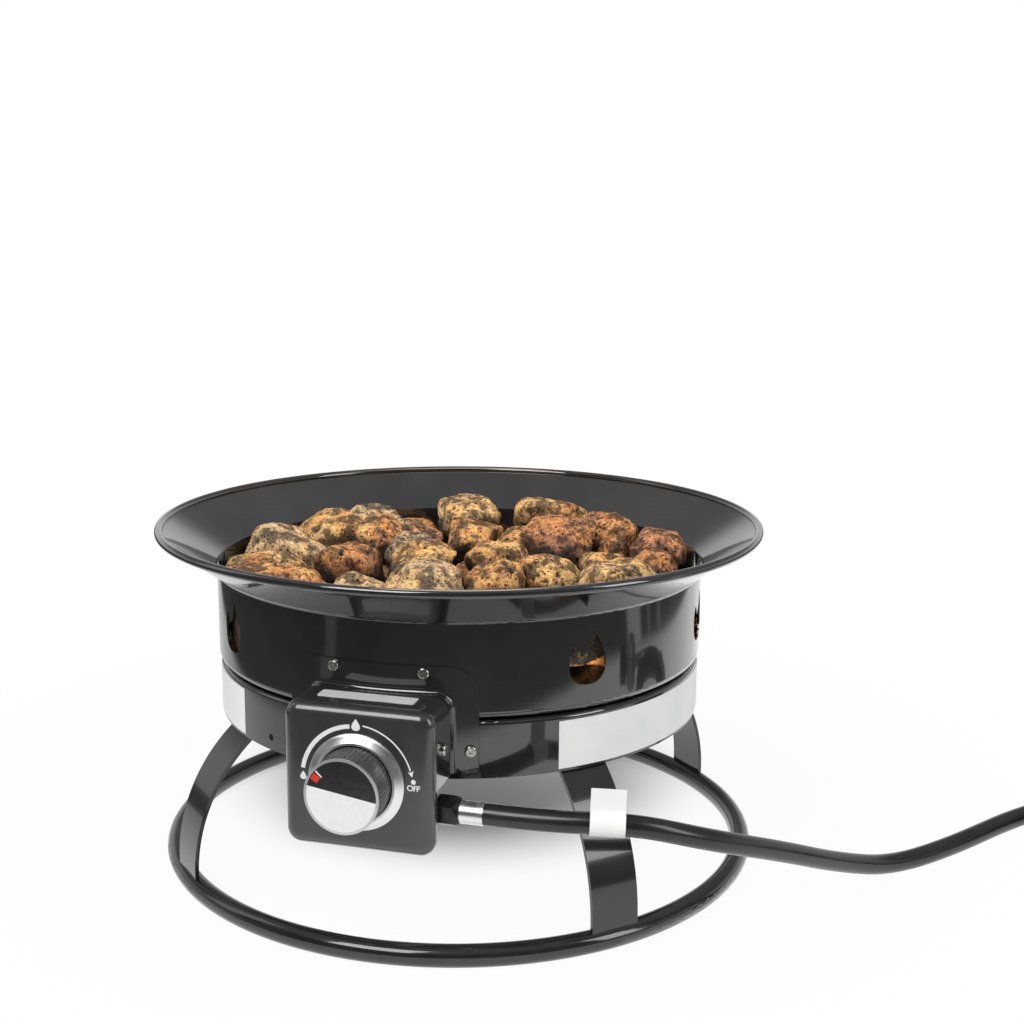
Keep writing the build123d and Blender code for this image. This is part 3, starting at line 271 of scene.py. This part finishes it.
def lava_stone():
    """Porous stone in tan, ochre, rust and grey, with painted shade in its pits and pores and
    underneath. The mesh carries each lump's tint, the depth of its pits and how far a place is
    turned down, which sets the painted shade underneath."""
    made, tree, shader = new_material("lava_stone_finish", Specular_IOR_Level=0.3)
    facts = add(tree, "ShaderNodeAttribute", attribute_name="stone")
    split = add(tree, "ShaderNodeSeparateColor")
    tree.links.new(facts.outputs["Color"], split.inputs["Color"])
    tint, pit, under = split.outputs["Red"], split.outputs["Green"], split.outputs["Blue"]
    patch = math_node(tree, "MULTIPLY_ADD", cloud(tree, 34, 6, 0.6), 0.75, -0.375)
    hue = math_node(tree, "ADD", tint, patch)
    colour = ramp(tree, hue, [
        (0.05, (0.42, 0.32, 0.23)), (0.28, (0.77, 0.53, 0.29)), (0.46, (0.83, 0.50, 0.195)),
        (0.62, (0.67, 0.295, 0.105)), (0.80, (0.51, 0.24, 0.140)), (0.97, (0.80, 0.56, 0.34))])
    soot = ramp(tree, cloud(tree, 80, 8, 0.7), [(0.44, 0.0), (0.55, 1.0)])
    colour = mix(tree, math_node(tree, "MULTIPLY", soot, 0.86), colour, (0.036, 0.030, 0.028))
    # painted shade on the places that are turned down
    colour = mix(tree, under, colour, (0.036, 0.030, 0.030))
    grit = ramp(tree, cloud(tree, 420, 6, 0.75), [(0.30, 0.24), (0.68, 1.55)])
    colour = mix(tree, 1.0, colour, grit, "MULTIPLY")
    # painted shade in the pits and pores: a near black colour in the hollows
    specks = ramp(tree, cells(tree, 300), [(0.18, 1.0), (0.32, 0.0)])
    where = ramp(tree, cloud(tree, 90, 3), [(0.40, 0.0), (0.52, 1.0)])
    holes = math_node(tree, "MULTIPLY", specks, where)
    dark = math_node(tree, "MAXIMUM", holes, pit)
    colour = mix(tree, dark, colour, (0.014, 0.010, 0.008))
    rough = ramp(tree, cloud(tree, 200, 4), [(0.3, 0.78), (0.7, 0.95)])
    pores = bump(tree, math_node(tree, "SUBTRACT", 1.0, holes), 0.0012, 0.8)
    skin = bump(tree, cloud(tree, 520, 6, 0.7), 0.0012, 0.7, pores)
    finish_surface(tree, shader, colour, rough, skin)
    return made


def print_white():
    """White screen print with a slightly uneven film."""
    made, tree, shader = new_material("panel_print_finish")
    colour = ramp(tree, cloud(tree, 240, 5), [(0.3, (0.81, 0.81, 0.81)), (0.7, (0.86, 0.86, 0.86))])
    rough = ramp(tree, cloud(tree, 300, 4), [(0.3, 0.35), (0.7, 0.5)])
    finish_surface(tree, shader, colour, rough)
    return made


def print_red():
    made, tree, shader = new_material("pointer_print_finish")
    colour = ramp(tree, cloud(tree, 260, 5), [(0.3, (0.62, 0.020, 0.010)), (0.7, (0.78, 0.035, 0.018))])
    rough = ramp(tree, cloud(tree, 300, 4), [(0.3, 0.3), (0.7, 0.45)])
    finish_surface(tree, shader, colour, rough)
    return made


def print_black():
    made, tree, shader = new_material("knob_print_finish", Coat_Weight=0.4, Coat_Roughness=0.08)
    colour = ramp(tree, cloud(tree, 240, 5), [(0.3, (0.008, 0.008, 0.009)), (0.7, (0.018, 0.018, 0.019))])
    rough = ramp(tree, cloud(tree, 180, 4), [(0.3, 0.22), (0.7, 0.35)])
    finish_surface(tree, shader, colour, rough)
    return made


finishes = {
    "gloss_enamel": enamel("gloss_enamel_finish", 1.0),
    "panel_paint": panel_paint(),
    "plated_steel": plated_steel(),
    "bright_trim": bright_trim(),
    "knob_plastic": knob_plastic(),
    "knob_print": print_black(),
    "brass": brass(),
    "burner_steel": burner_steel(),
    "hose_rubber": hose_rubber(),
    "black_nut": black_nut(),
    "paper": paper(),
    "cast_alloy": cast_alloy(),
    "black_plastic": black_plastic(),
    "lava_stone": lava_stone(),
}
thin_enamel = enamel("thin_enamel_finish", 0.4)
white_print = print_white()
red_print = print_red()


thinly_painted = ("base_ring", "leg_front_right", "leg_rear_right", "leg_rear_left", "leg_front_left")


def paint_nodes():
    """Each node takes the finish of its own material slot, apart from a few that differ from it."""
    for node in nodes.values():
        for held in node.material_slots:
            held.material = finishes[held.material.name.split(".")[0]]
    nodes["panel_top_plate"].material_slots[0].material = silver_plate()
    nodes["control_bracket"].material_slots[0].material = finishes["gloss_enamel"]
    for name in thinly_painted:
        nodes[name].material_slots[0].material = thin_enamel


# Pieces

def new_object(name, mesh, finish, body):
    made = bpy.data.objects.new(name, mesh)
    bpy.context.scene.collection.objects.link(made)
    made.data.materials.append(finish)
    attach(made, body)
    return made


def by_index(held):
    return held.index


def rock_lumps(node):
    """The planes round each lump of a node, as normals with their distances from its middle."""
    work = bmesh.new()
    work.from_mesh(nodes[node].data)
    bmesh.ops.remove_doubles(work, verts=work.verts, dist=1e-6)
    work.verts.index_update()
    work.faces.index_update()
    waiting = set(work.verts)
    lumps = []
    while waiting:
        first = min(waiting, key=by_index)
        reached, front = {first}, [first]
        while front:
            vert = front.pop()
            for edge in vert.link_edges:
                other = edge.other_vert(vert)
                if other not in reached:
                    reached.add(other)
                    front.append(other)
        waiting -= reached
        middle = np.mean([vert.co for vert in sorted(reached, key=by_index)], axis=0)
        faces = {face for vert in reached for face in vert.link_faces}
        found = {}
        for face in sorted(faces, key=by_index):
            if face.calc_area() > 1e-10:
                normal = np.array(face.normal)
                key = tuple(np.round(normal, 3) + 0.0)
                found[key] = (normal, float(normal @ (np.array(face.verts[0].co) - middle)))
        planes = [found[key] for key in sorted(found)]
        normals = np.array([normal for normal, _ in planes])
        limits = np.array([limit for _, limit in planes])
        lumps.append((middle, normals, limits))
    work.free()
    return lumps


def ball(divisions):
    """Directions spread over a ball, and the triangles between them."""
    work = bmesh.new()
    bmesh.ops.create_icosphere(work, subdivisions=divisions, radius=1.0)
    work.verts.ensure_lookup_table()
    places = np.array([vert.co for vert in work.verts])
    places /= np.linalg.norm(places, axis=1)[:, None]
    faces = np.array([[vert.index for vert in face.verts] for face in work.faces])
    work.free()
    return places, faces


# Rocks: how sharp a lump's edges stay and how far it is grown past its planes
round_power = 20
rock_growth = 1.03

# The skin's swells and grain, each with its depth and scale, then its dents and pits
broad_swell = (0.0042, 26)
small_swell = (0.0030, 52)
skin_grain = (0.0010, 210)
dent_depth, dent_scale = 0.0026, 85
pit_cells = 165.0
pit_depth = 0.0028
pit_reach, pit_spread, pit_slope = 0.26, 0.22, 0.22
pit_chance_scale, pit_least_chance = 7.3, -0.35

# Where the tint, the skin's place in the noise and the painted shade underneath come from
tint_scale, tint_origin = 61.0, (3.1, 7.7)
shift_scales, shift_reach = (37, 41, 43), 5
under_shade_none, under_shade_full = 0.42, -0.35
under_shade_wander, under_shade_scale = 0.40, 45


def smooth(low, high, value):
    share = min(max((value - low) / (high - low), 0.0), 1.0)
    return share * share * (3 - 2 * share)


def wave(place, depth, scale):
    return depth * (0.5 - 0.5 * noise.noise(place * scale))


def weathered(place, shift):
    """How far a lump's skin lies below its rounded form at a place, and how deep in a pit that is."""
    moved = place + shift
    swell = wave(moved, *broad_swell) + wave(moved, *small_swell)
    dents = dent_depth * abs(noise.noise(moved * dent_scale)) + wave(moved, *skin_grain)
    away, cores = noise.voronoi(moved * pit_cells)
    chance = noise.cell(cores[0] * pit_chance_scale)
    reach = pit_reach + pit_spread * chance
    pit = smooth(reach, reach - pit_slope, away[0]) if chance > pit_least_chance else 0.0
    return swell + dents + pit_depth * pit, pit


def rock_group(node, divisions, group_tint, under_shade):
    """One mesh with all the lumps of a node, rounded, weathered and with painted shade underneath."""
    directions, triangles = ball(divisions)
    places, faces, facts = [], [], []
    for middle, normals, limits in rock_lumps(node):
        reach = np.clip(directions @ normals.T / limits, 0, None)
        flat = 1 / reach.max(axis=1)
        rounded = 1 / (reach ** round_power).sum(axis=1) ** (1 / round_power)
        rounded *= rock_growth * (flat / rounded).min()
        key = Vector(middle)
        tint = 0.5 + 0.5 * noise.noise(key * tint_scale + Vector((*tint_origin, group_tint)))
        shift = Vector([noise.noise(key * scale) for scale in shift_scales]) * shift_reach
        first = len(places)
        for direction, radius in zip(directions, rounded):
            way = Vector(direction)
            place = key + way * radius
            below, pit = weathered(place, shift)
            places.append(place - way * below)
            # painted shade on the undersides, scaled by the group's share
            level = way.z + under_shade_wander * noise.noise(place * under_shade_scale + shift)
            facts.append((tint, pit, under_shade * smooth(under_shade_none, under_shade_full, level), 1.0))
        faces.extend((triangles + first).tolist())
    mesh = bpy.data.meshes.new(node + "_stones")
    mesh.from_pydata([tuple(place) for place in places], [], faces)
    mesh.polygons.foreach_set("use_smooth", [True] * len(mesh.polygons))
    stone = mesh.color_attributes.new("stone", "FLOAT_COLOR", "POINT")
    stone.data.foreach_set("color", np.array(facts, dtype=np.float32).ravel())
    made = new_object(node + "_stones", mesh, finishes["lava_stone"], "root")
    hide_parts(node)


def lava_rocks():
    # the last number is each group's share of painted shade underneath; the lower groups, seen through the
    # cut-outs, get less
    rock_group("lava_rocks_upper_inner", 5, 0.3, 1.0)
    rock_group("lava_rocks_upper_outer", 5, 1.7, 0.8)
    rock_group("lava_rocks_lower_inner", 4, 2.9, 0.3)
    rock_group("lava_rocks_lower_outer", 4, 4.1, 0.0)


# Hose: the route's points, then the coil from its formula
hose_radius = 0.0077
hose_diameter = 2 * hose_radius
hose_exit = (0.0835, -0.212, 0.1095)
hose_route = [
    hose_exit,
    (0.128, -0.212, 0.1095),
    (0.184, -0.203, 0.1110),
    (0.234, -0.167, 0.0900),
    (0.275, -0.106, 0.0615),
    (0.311, -0.046, 0.0315),
    (0.350, 0.010, 0.0086),
    (0.396, 0.062, 0.0081),
]
hose_last_run = 0.070
coil_centre = (0.590, 0.127)
coil_radius = 0.105
coil_pitch = 0.0164
coil_layer_turns = 1.9375
coil_climb_turns = 0.5
coil_layer_step = 0.0159
coil_low = 0.00135 + hose_radius
coil_turns = 2 * coil_layer_turns + coil_climb_turns
coil_points_per_turn = 24


def coil_place(turn):
    """The coil's line: in along the floor, up in the half turn where it reverses, out on top."""
    lean = math.degrees(math.atan2(coil_pitch, 2 * math.pi * coil_radius))
    inner = coil_radius - coil_pitch * coil_layer_turns
    climb = turn - coil_layer_turns
    radius, height = coil_radius - coil_pitch * turn, coil_low
    if 0 < climb < coil_climb_turns:
        share = climb / coil_climb_turns
        radius = inner - coil_pitch * climb * (1 - share)
        height = coil_low + coil_layer_step * share ** 2 * (3 - 2 * share)
    elif climb > 0:
        radius = inner + coil_pitch * (climb - coil_climb_turns)
        height = coil_low + coil_layer_step
    angle = math.radians(360 * coil_turns - lean - 360 * turn)
    x = coil_centre[0] + radius * math.cos(angle)
    y = coil_centre[1] + radius * math.sin(angle)
    return Vector((x, y, height))


def hose():
    step = 1e-4
    first = (coil_place(step) - coil_place(0)).normalized()
    last = (coil_place(coil_turns) - coil_place(coil_turns - step)).normalized()
    start = coil_place(0) - first * hose_diameter
    end = coil_place(coil_turns) + last * hose_diameter
    count = round(coil_turns * coil_points_per_turn)
    points = [Vector(point) for point in hose_route] + [start - first * hose_last_run, start]
    points += [coil_place(coil_turns * i / count) for i in range(count + 1)] + [end]
    curve = bpy.data.curves.new("gas_hose", "CURVE")
    curve.dimensions = "3D"
    curve.bevel_depth = hose_radius
    curve.bevel_resolution = 7
    curve.resolution_u = 8
    curve.use_fill_caps = True
    spline = curve.splines.new("NURBS")
    spline.points.add(len(points) - 1)
    for held, point in zip(spline.points, points):
        held.co = (*point, 1)
    spline.order_u = 3
    spline.use_endpoint_u = True
    made = new_object("gas_hose", curve, finishes["hose_rubber"], "root")
    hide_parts("hose", "hose_coil")


def around(count):
    """Angles spread evenly over a whole turn."""
    return [2 * math.pi * i / count for i in range(count)]


def loft(name, rings, finish, body):
    """A closed skin through rings of points, each ring with the same number of them."""
    work = bmesh.new()
    skin = [[work.verts.new(point) for point in ring] for ring in rings]
    for first, second in zip(skin, skin[1:]):
        for i in range(len(first)):
            work.faces.new((first[i - 1], first[i], second[i], second[i - 1]))
    work.faces.new(skin[0])
    work.faces.new(skin[-1])
    bmesh.ops.recalc_face_normals(work, faces=work.faces)
    mesh = bpy.data.meshes.new(name)
    work.to_mesh(mesh)
    work.free()
    return new_object(name, mesh, finish, body)


# The hose nut runs back past the panel's edge, over the elbow
nut_start = 0.0506
nut_length = 0.0162
nut_corner = 0.0114
nut_near_bevel = 0.0012
nut_far_bevel = 0.0046
nut_far_slope = 0.62
nut_neck = 0.0086
nut_sides = 72
nut_bevel_steps = 8


def hexagon_radius(angle):
    """How far a hexagon reaches from its middle, with a corner at angle 0."""
    off_flat = (angle % (math.pi / 3)) - math.pi / 6
    return nut_corner * math.cos(math.pi / 6) / math.cos(off_flat)


def hose_nut():
    """A hexagon with both ends turned down, the one at the ferrule further."""
    middle_y, middle_z = hose_exit[1:]
    shares = [i / nut_bevel_steps for i in range(nut_bevel_steps + 1)]
    lengths = [0, nut_near_bevel] + [nut_length - nut_far_bevel * (1 - share) for share in shares]
    angles = around(nut_sides)
    rings = []
    for along in lengths:
        near = nut_corner - nut_near_bevel + along
        far = nut_neck + nut_far_slope * (nut_length - along)
        reach = [min(hexagon_radius(angle), near, far) for angle in angles]
        rings.append([(nut_start + along, middle_y + r * math.sin(a), middle_z + r * math.cos(a))
                      for r, a in zip(reach, angles)])
    made = loft("hose_nut_hex", rings, finishes["black_nut"], "root")
    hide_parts("hose_nut")


# A dark disc behind the small hole in the band, just inside the wall: painted shade for the dark inside
# seen through the hole
hole_shade_turn = math.radians(-29.0)
hole_shade_height = 0.1312
hole_shade_radius = 0.0042
hole_shade_front, hole_shade_back = 0.1912, 0.1900
hole_shade_sides = 24


def vent_hole_shade():
    out = Vector((math.sin(hole_shade_turn), -math.cos(hole_shade_turn), 0))
    across = Vector((math.cos(hole_shade_turn), math.sin(hole_shade_turn), 0))
    up = Vector((0, 0, 1))
    rings = []
    for reach in (hole_shade_front, hole_shade_back):
        middle = reach * out + hole_shade_height * up
        rings.append([middle + hole_shade_radius * (math.cos(a) * across + math.sin(a) * up)
                      for a in around(hole_shade_sides)])
    loft("vent_hole_shade", rings, finishes["black_plastic"], "root")


# Dial print and knob face, on planes that face -Y
dial_height = 0.1330
panel_front = -0.237
print_film = 0.0001
knob_front = -0.2654
face_radius = 0.0247
face_depth = 0.0008


def plate(name, outlines, front, depth, finish, body):
    """Flat pieces with a thickness, from outlines of (x, z) about the dial's centre."""
    work = bmesh.new()
    for outline in outlines:
        verts = [work.verts.new((x, front, dial_height + z)) for x, z in outline]
        face = work.faces.new(verts)
        face.normal_update()
        if face.normal.y > 0:
            face.normal_flip()
        grown = bmesh.ops.extrude_face_region(work, geom=[face])
        back = [item for item in grown["geom"] if isinstance(item, bmesh.types.BMVert)]
        bmesh.ops.translate(work, verts=back, vec=(0, depth, 0))
    bmesh.ops.recalc_face_normals(work, faces=work.faces)
    mesh = bpy.data.meshes.new(name)
    work.to_mesh(mesh)
    work.free()
    return new_object(name, mesh, finish, body)


def polar(radius, angle):
    """A place on the dial, by its angle from 3 o'clock towards 12."""
    turn = math.radians(angle)
    return radius * math.cos(turn), radius * math.sin(turn)


def arc_band(inner, outer, start, end, steps=48):
    angles = [start + (end - start) * i / steps for i in range(steps + 1)]
    return [polar(outer, a) for a in angles] + [polar(inner, a) for a in reversed(angles)]


def disc(centre, radius, steps=28):
    return [(centre[0] + radius * math.cos(a), centre[1] + radius * math.sin(a)) for a in around(steps)]


def drop(centre, height, steps=36):
    """A plain drop-shaped flame mark with its tip up."""
    outline = []
    for a in around(steps):
        wide = 0.50 * math.sin(a) * math.sin(a / 2) ** 1.3
        outline.append((centre[0] + height * wide, centre[1] + height * (0.5 * math.cos(a))))
    return outline


# Dial marks: a radius and an angle for each place, then sizes
thick_arc = (0.0377, 0.0407, 96.5, 171)
thin_arc = (0.0400, 0.0410, 17, 83)
arrow = [(0.0406, 10.8), (0.0426, 16.5), (0.0406, 15.5), (0.0386, 16.5)]
off_dot, off_dot_radius = (0.0410, 6.0), 0.0017
high_flame, high_flame_height = (0.0405, 90), 0.0085
low_flame, low_flame_height = (0.0386, 178.6), 0.0062
off_across, off_rise = 0.0408, -0.0021
off_letter_size = 0.0057
off_letter_spacing = 0.9
off_letter_weight = 0.0001


def dial_print():
    marks = [
        arc_band(*thick_arc),
        arc_band(*thin_arc),
        [polar(*corner) for corner in arrow],
        disc(polar(*off_dot), off_dot_radius),
        drop(polar(*high_flame), high_flame_height),
        drop(polar(*low_flame), low_flame_height),
    ]
    plate("dial_marks", marks, panel_front - print_film, print_film, white_print, "root")
    letters = bpy.data.curves.new("dial_off", "FONT")
    letters.body = "OFF"
    letters.size = off_letter_size
    letters.space_character = off_letter_spacing
    letters.offset = off_letter_weight
    letters.align_x = "CENTER"
    letters.extrude = print_film / 2
    made = bpy.data.objects.new("dial_off", letters)
    bpy.context.scene.collection.objects.link(made)
    made.location = (off_across, panel_front - print_film / 2, dial_height + off_rise)
    made.rotation_euler = (math.pi / 2, 0, 0)
    letters.materials.append(white_print)
    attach(made, "root")


# Knob print: the angles where the white field ends, the pointer's corners and the tick
white_from, white_to = 166.4, 355.8
white_inset = 0.0001
white_steps = 60
pointer_corners = [(0.0241, 141.5), (0.0241, 153), (0.0187, 154.5), (0.0187, 140)]
tick_band = (0.0182, 0.0241, 135.6, 138.2)


def knob_face():
    """The knob's face: a dark field, a bare white field below and a plain red pointer."""
    face = plate("knob_field", [disc((0, 0), face_radius, 96)], knob_front, face_depth,
                 finishes["knob_print"], "knob")
    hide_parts("knob_face")
    front = knob_front - print_film
    white = [polar(face_radius - white_inset, white_from + (white_to - white_from) * i / white_steps)
             for i in range(white_steps + 1)]
    plate("knob_white", [white], front, print_film, white_print, "knob")
    pointer = [polar(*corner) for corner in pointer_corners]
    plate("knob_pointer", [pointer], front, print_film, red_print, "knob")
    tick = arc_band(*tick_band, steps=4)
    plate("knob_tick", [tick], front, print_film, white_print, "knob")


# The spring behind the knob. The real one shortens as the knob is pushed in; this coil keeps one length
spring_front, spring_back = -0.2285, -0.2143
spring_radius = 0.0044
spring_wire = 0.0005
spring_turns = 4
spring_steps = 24 * spring_turns
spring_sides = 10


def stem_spring():
    low, high = spring_front + spring_wire, spring_back - spring_wire
    back = Vector((0, 1, 0))
    rings = []
    for i in range(spring_steps + 1):
        turn = 2 * math.pi * spring_turns * i / spring_steps
        out = Vector((math.cos(turn), 0, math.sin(turn)))
        middle = Vector((0, high + (low - high) * i / spring_steps, dial_height)) + spring_radius * out
        rings.append([middle + spring_wire * (math.cos(a) * out + math.sin(a) * back)
                      for a in around(spring_sides)])
    made = loft("stem_spring_coil", rings, finishes["plated_steel"], "root")
    made.data.polygons.foreach_set("use_smooth", [True] * len(made.data.polygons))
    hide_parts("stem_spring")
    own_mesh(made)


# Stage, light and camera

camera_turn = math.radians(17.3)
camera_distance = 1.19591
camera_height = 0.51634
camera_pitch = 0.20020
camera_yaw = 0.034455
camera_roll = 0.007972
camera_lens = 53.19


def fade(tree, value, near, far, first, last):
    """A number that goes smoothly from first to last as the value goes from near to far."""
    node = add(tree, "ShaderNodeMapRange", interpolation_type="SMOOTHSTEP")
    limits = {"From Min": near, "From Max": far, "To Min": first, "To Max": last}
    for socket, number in limits.items():
        node.inputs[socket].default_value = number
    tree.links.new(value, node.inputs["Value"])
    return node.outputs["Result"]


def mix_shaders(tree, share, first, second):
    node = add(tree, "ShaderNodeMixShader")
    for socket, value in zip(node.inputs, (share, first, second)):
        tree.links.new(value, socket)
    return node.outputs["Shader"]


# Floor: its half size and colour, then where the camera sees its shadow, by the distance from
# the shadow's middle, and how far it is whitened there
floor_reach = 12
floor_grey = 0.68
shadow_middle = (-0.042, 0.134, 0)
shadow_fade = (0.105, 0.24, 0.0, 0.95)
outer_fade = (0.24, 0.70, 0.0, 0.05)

# What reflections see on the floor: a white zone with an edge, dimmer at the left, then streaks,
# each with its heading from the camera's right and its width in degrees, and its strength
white_zone_across = 0.12
white_zone_squeeze = 1.16
white_zone_edge = (0.69, 0.77, 1.0, 0.10)
white_zone_left = (-0.55, -0.05, 0.6, 1.0)
floor_streaks = [(-12, 9, 0.75), (-2.5, 2.5, 0.30), (4.5, 3, 0.30), (-145, 7, 0.25)]
streak_core, streak_end = 0.30, 0.60


def stage():
    """A white floor. The camera sees it plain white away from the object and with its shadow
    near it. Reflections see it white near the object, and dark with a few streaks further off."""
    work = bmesh.new()
    bmesh.ops.create_grid(work, x_segments=1, y_segments=1, size=floor_reach)
    mesh = bpy.data.meshes.new("floor")
    work.to_mesh(mesh)
    work.free()
    floor = bpy.data.objects.new("floor", mesh)
    bpy.context.scene.collection.objects.link(floor)
    made, tree, shader = new_material("floor_finish", Roughness=0.9, Specular_IOR_Level=0.0)
    shader.inputs["Base Color"].default_value = (floor_grey, floor_grey, floor_grey, 1)
    geometry = add(tree, "ShaderNodeNewGeometry")
    shade = add(tree, "ShaderNodeVectorMath", operation="DISTANCE")
    shade.inputs[1].default_value = shadow_middle
    tree.links.new(geometry.outputs["Position"], shade.inputs[0])
    away = shade.outputs["Value"]
    turned = add(tree, "ShaderNodeVectorRotate", rotation_type="Z_AXIS")
    turned.inputs["Angle"].default_value = -camera_turn
    tree.links.new(geometry.outputs["Position"], turned.inputs["Vector"])
    split = add(tree, "ShaderNodeSeparateXYZ")
    tree.links.new(turned.outputs["Vector"], split.inputs["Vector"])
    x, y = split.outputs["X"], split.outputs["Y"]
    rays = add(tree, "ShaderNodeLightPath")
    white = add(tree, "ShaderNodeEmission")
    lifted = math_node(tree, "ADD", fade(tree, away, *shadow_fade), fade(tree, away, *outer_fade))
    shown = math_node(tree, "MULTIPLY", lifted, rays.outputs["Is Camera Ray"])
    plain = mix_shaders(tree, shown, shader.outputs["BSDF"], white.outputs["Emission"])
    across = math_node(tree, "SUBTRACT", x, white_zone_across)
    ahead = math_node(tree, "MULTIPLY", math_node(tree, "MINIMUM", y, 0.0), white_zone_squeeze)
    squares = [math_node(tree, "MULTIPLY", side, side) for side in (across, ahead)]
    edge = math_node(tree, "SQRT", math_node(tree, "ADD", *squares))
    dimmed = fade(tree, x, *white_zone_left)
    strength = math_node(tree, "MULTIPLY", fade(tree, edge, *white_zone_edge), dimmed)
    heading = math_node(tree, "ARCTAN2", y, x)
    for degrees, width, level in floor_streaks:
        off = math_node(tree, "ABSOLUTE", math_node(tree, "SUBTRACT", heading, math.radians(degrees)))
        core, end = math.radians(streak_core * width), math.radians(streak_end * width)
        strength = math_node(tree, "MAXIMUM", strength, fade(tree, off, core, end, level, 0.0))
    mirrored = add(tree, "ShaderNodeEmission")
    tree.links.new(strength, mirrored.inputs["Strength"])
    whole = mix_shaders(tree, rays.outputs["Is Glossy Ray"], plain, mirrored.outputs["Emission"])
    tree.links.new(whole, tree.nodes["Material Output"].inputs["Surface"])
    mesh.materials.append(made)


# Sky: its light, then what reflections see by how far a direction points behind the object,
# by its height low down, and by its height overhead
sky_light = 0.60
sky_shown = 1.0
sky_right_lean = 0.25
sky_behind_fade = (-0.75, 0.65, 0.05, 0.85)
sky_low_fade = (0.22, 0.40, 1.0, 0.3)
sky_overhead_fade = (0.45, 0.80, 0.0, 1.0)
sky_overhead = 0.40


def world_light():
    """An even white sky. Reflections see it pale behind the object, dark in front of it and
    grey overhead."""
    world = bpy.data.worlds.new("studio")
    bpy.context.scene.world = world
    world.use_nodes = True
    tree = world.node_tree
    plain = tree.nodes["Background"]
    plain.inputs["Color"].default_value = (1, 1, 1, 1)
    rays = add(tree, "ShaderNodeLightPath")
    strength = add(tree, "ShaderNodeMix", data_type="FLOAT")
    strength.inputs[2].default_value = sky_light
    strength.inputs[3].default_value = sky_shown
    tree.links.new(rays.outputs["Is Camera Ray"], strength.inputs[0])
    tree.links.new(strength.outputs[0], plain.inputs["Strength"])
    coords = add(tree, "ShaderNodeTexCoord")
    split = add(tree, "ShaderNodeSeparateXYZ")
    tree.links.new(coords.outputs["Generated"], split.inputs["Vector"])
    behind = add(tree, "ShaderNodeVectorMath", operation="DOT_PRODUCT")
    behind.inputs[1].default_value = (sky_right_lean - math.sin(camera_turn), math.cos(camera_turn), 0)
    tree.links.new(coords.outputs["Generated"], behind.inputs[0])
    height = split.outputs["Z"]
    sideways = fade(tree, behind.outputs["Value"], *sky_behind_fade)
    low = math_node(tree, "MULTIPLY", sideways, fade(tree, height, *sky_low_fade))
    sky = add(tree, "ShaderNodeMix", data_type="FLOAT")
    tree.links.new(fade(tree, height, *sky_overhead_fade), sky.inputs[0])
    tree.links.new(low, sky.inputs[2])
    sky.inputs[3].default_value = sky_overhead
    mirrored = add(tree, "ShaderNodeBackground")
    tree.links.new(sky.outputs[0], mirrored.inputs["Strength"])
    whole = mix_shaders(tree, rays.outputs["Is Glossy Ray"], plain.outputs["Background"],
                        mirrored.outputs["Background"])
    tree.links.new(whole, tree.nodes["World Output"].inputs["Surface"])


def softbox(name, place, aim, size, power, colour):
    lamp = bpy.data.lights.new(name, "AREA")
    lamp.shape = "RECTANGLE"
    lamp.size, lamp.size_y = size
    lamp.energy = power
    lamp.color = colour
    made = bpy.data.objects.new(name, lamp)
    made.location = place
    made.rotation_euler = (Vector(aim) - Vector(place)).to_track_quat("-Z", "Y").to_euler()
    bpy.context.scene.collection.objects.link(made)
    return made


# Lamps: place, aim, size and power. A small one inside each cut-out lights the rocks seen there
studio_white = (1, 1, 1)
warm_white = (1.0, 0.84, 0.62)
studio_lamps = {
    "front_top": ((-0.45, -1.40, 1.55), (0, 0, 0.15), (1.0, 0.9), 18.5, studio_white),
    "left_key": ((-1.7, -0.3, 1.2), (0, 0, 0.2), (0.6, 1.2), 2, studio_white),
    "right_fill": ((1.9, -0.5, 1.0), (0, 0, 0.2), (0.6, 1.2), 10, studio_white),
    "bowl_fill": ((0.0, 0.0, 0.75), (0, 0, 0.2), (0.3, 0.3), 1.22, warm_white),
}
cut_out_angles = (-135, -45, 0, 45, 90, 135, 180)
inner_out, inner_height = 0.172, 0.173
inner_aim_out, inner_aim_height = 0.130, 0.205
inner_size = (0.012, 0.02)
inner_power = 0.035


def lights():
    for name, settings in studio_lamps.items():
        softbox(name, *settings)
    for angle in cut_out_angles:
        away = Vector((math.cos(math.radians(angle)), math.sin(math.radians(angle)), 0))
        place = away * inner_out + Vector((0, 0, inner_height))
        aim = away * inner_aim_out + Vector((0, 0, inner_aim_height))
        lamp = softbox("inner_fill_%d" % (angle % 360), place, aim, inner_size, inner_power, warm_white)
        lamp.visible_camera = False
        lamp.visible_glossy = False


def camera():
    """The photograph's camera: it looks down a little, from the right of the control box."""
    made = bpy.data.cameras.new("camera")
    made.sensor_width = 36
    made.lens = camera_lens
    view = bpy.data.objects.new("camera", made)
    bpy.context.scene.collection.objects.link(view)
    ahead = Vector((math.sin(camera_yaw) * math.cos(camera_pitch),
                    math.cos(camera_yaw) * math.cos(camera_pitch), -math.sin(camera_pitch)))
    level = Vector((math.cos(camera_yaw), -math.sin(camera_yaw), 0))
    above = level.cross(ahead)
    right = math.cos(camera_roll) * level + math.sin(camera_roll) * above
    up = math.cos(camera_roll) * above - math.sin(camera_roll) * level
    turned = Matrix((right, up, -ahead)).transposed().to_4x4()
    placed = Matrix.Translation((0, -camera_distance, camera_height)) @ turned
    view.matrix_world = Matrix.Rotation(camera_turn, 4, "Z") @ placed
    bpy.context.scene.camera = view


camera()
hose()
paint_nodes()
lava_rocks()
hose_nut()
vent_hole_shade()
stem_spring()
dial_print()
knob_face()
stage()
world_light()
lights()
bpy.context.scene.view_settings.view_transform = "Standard"
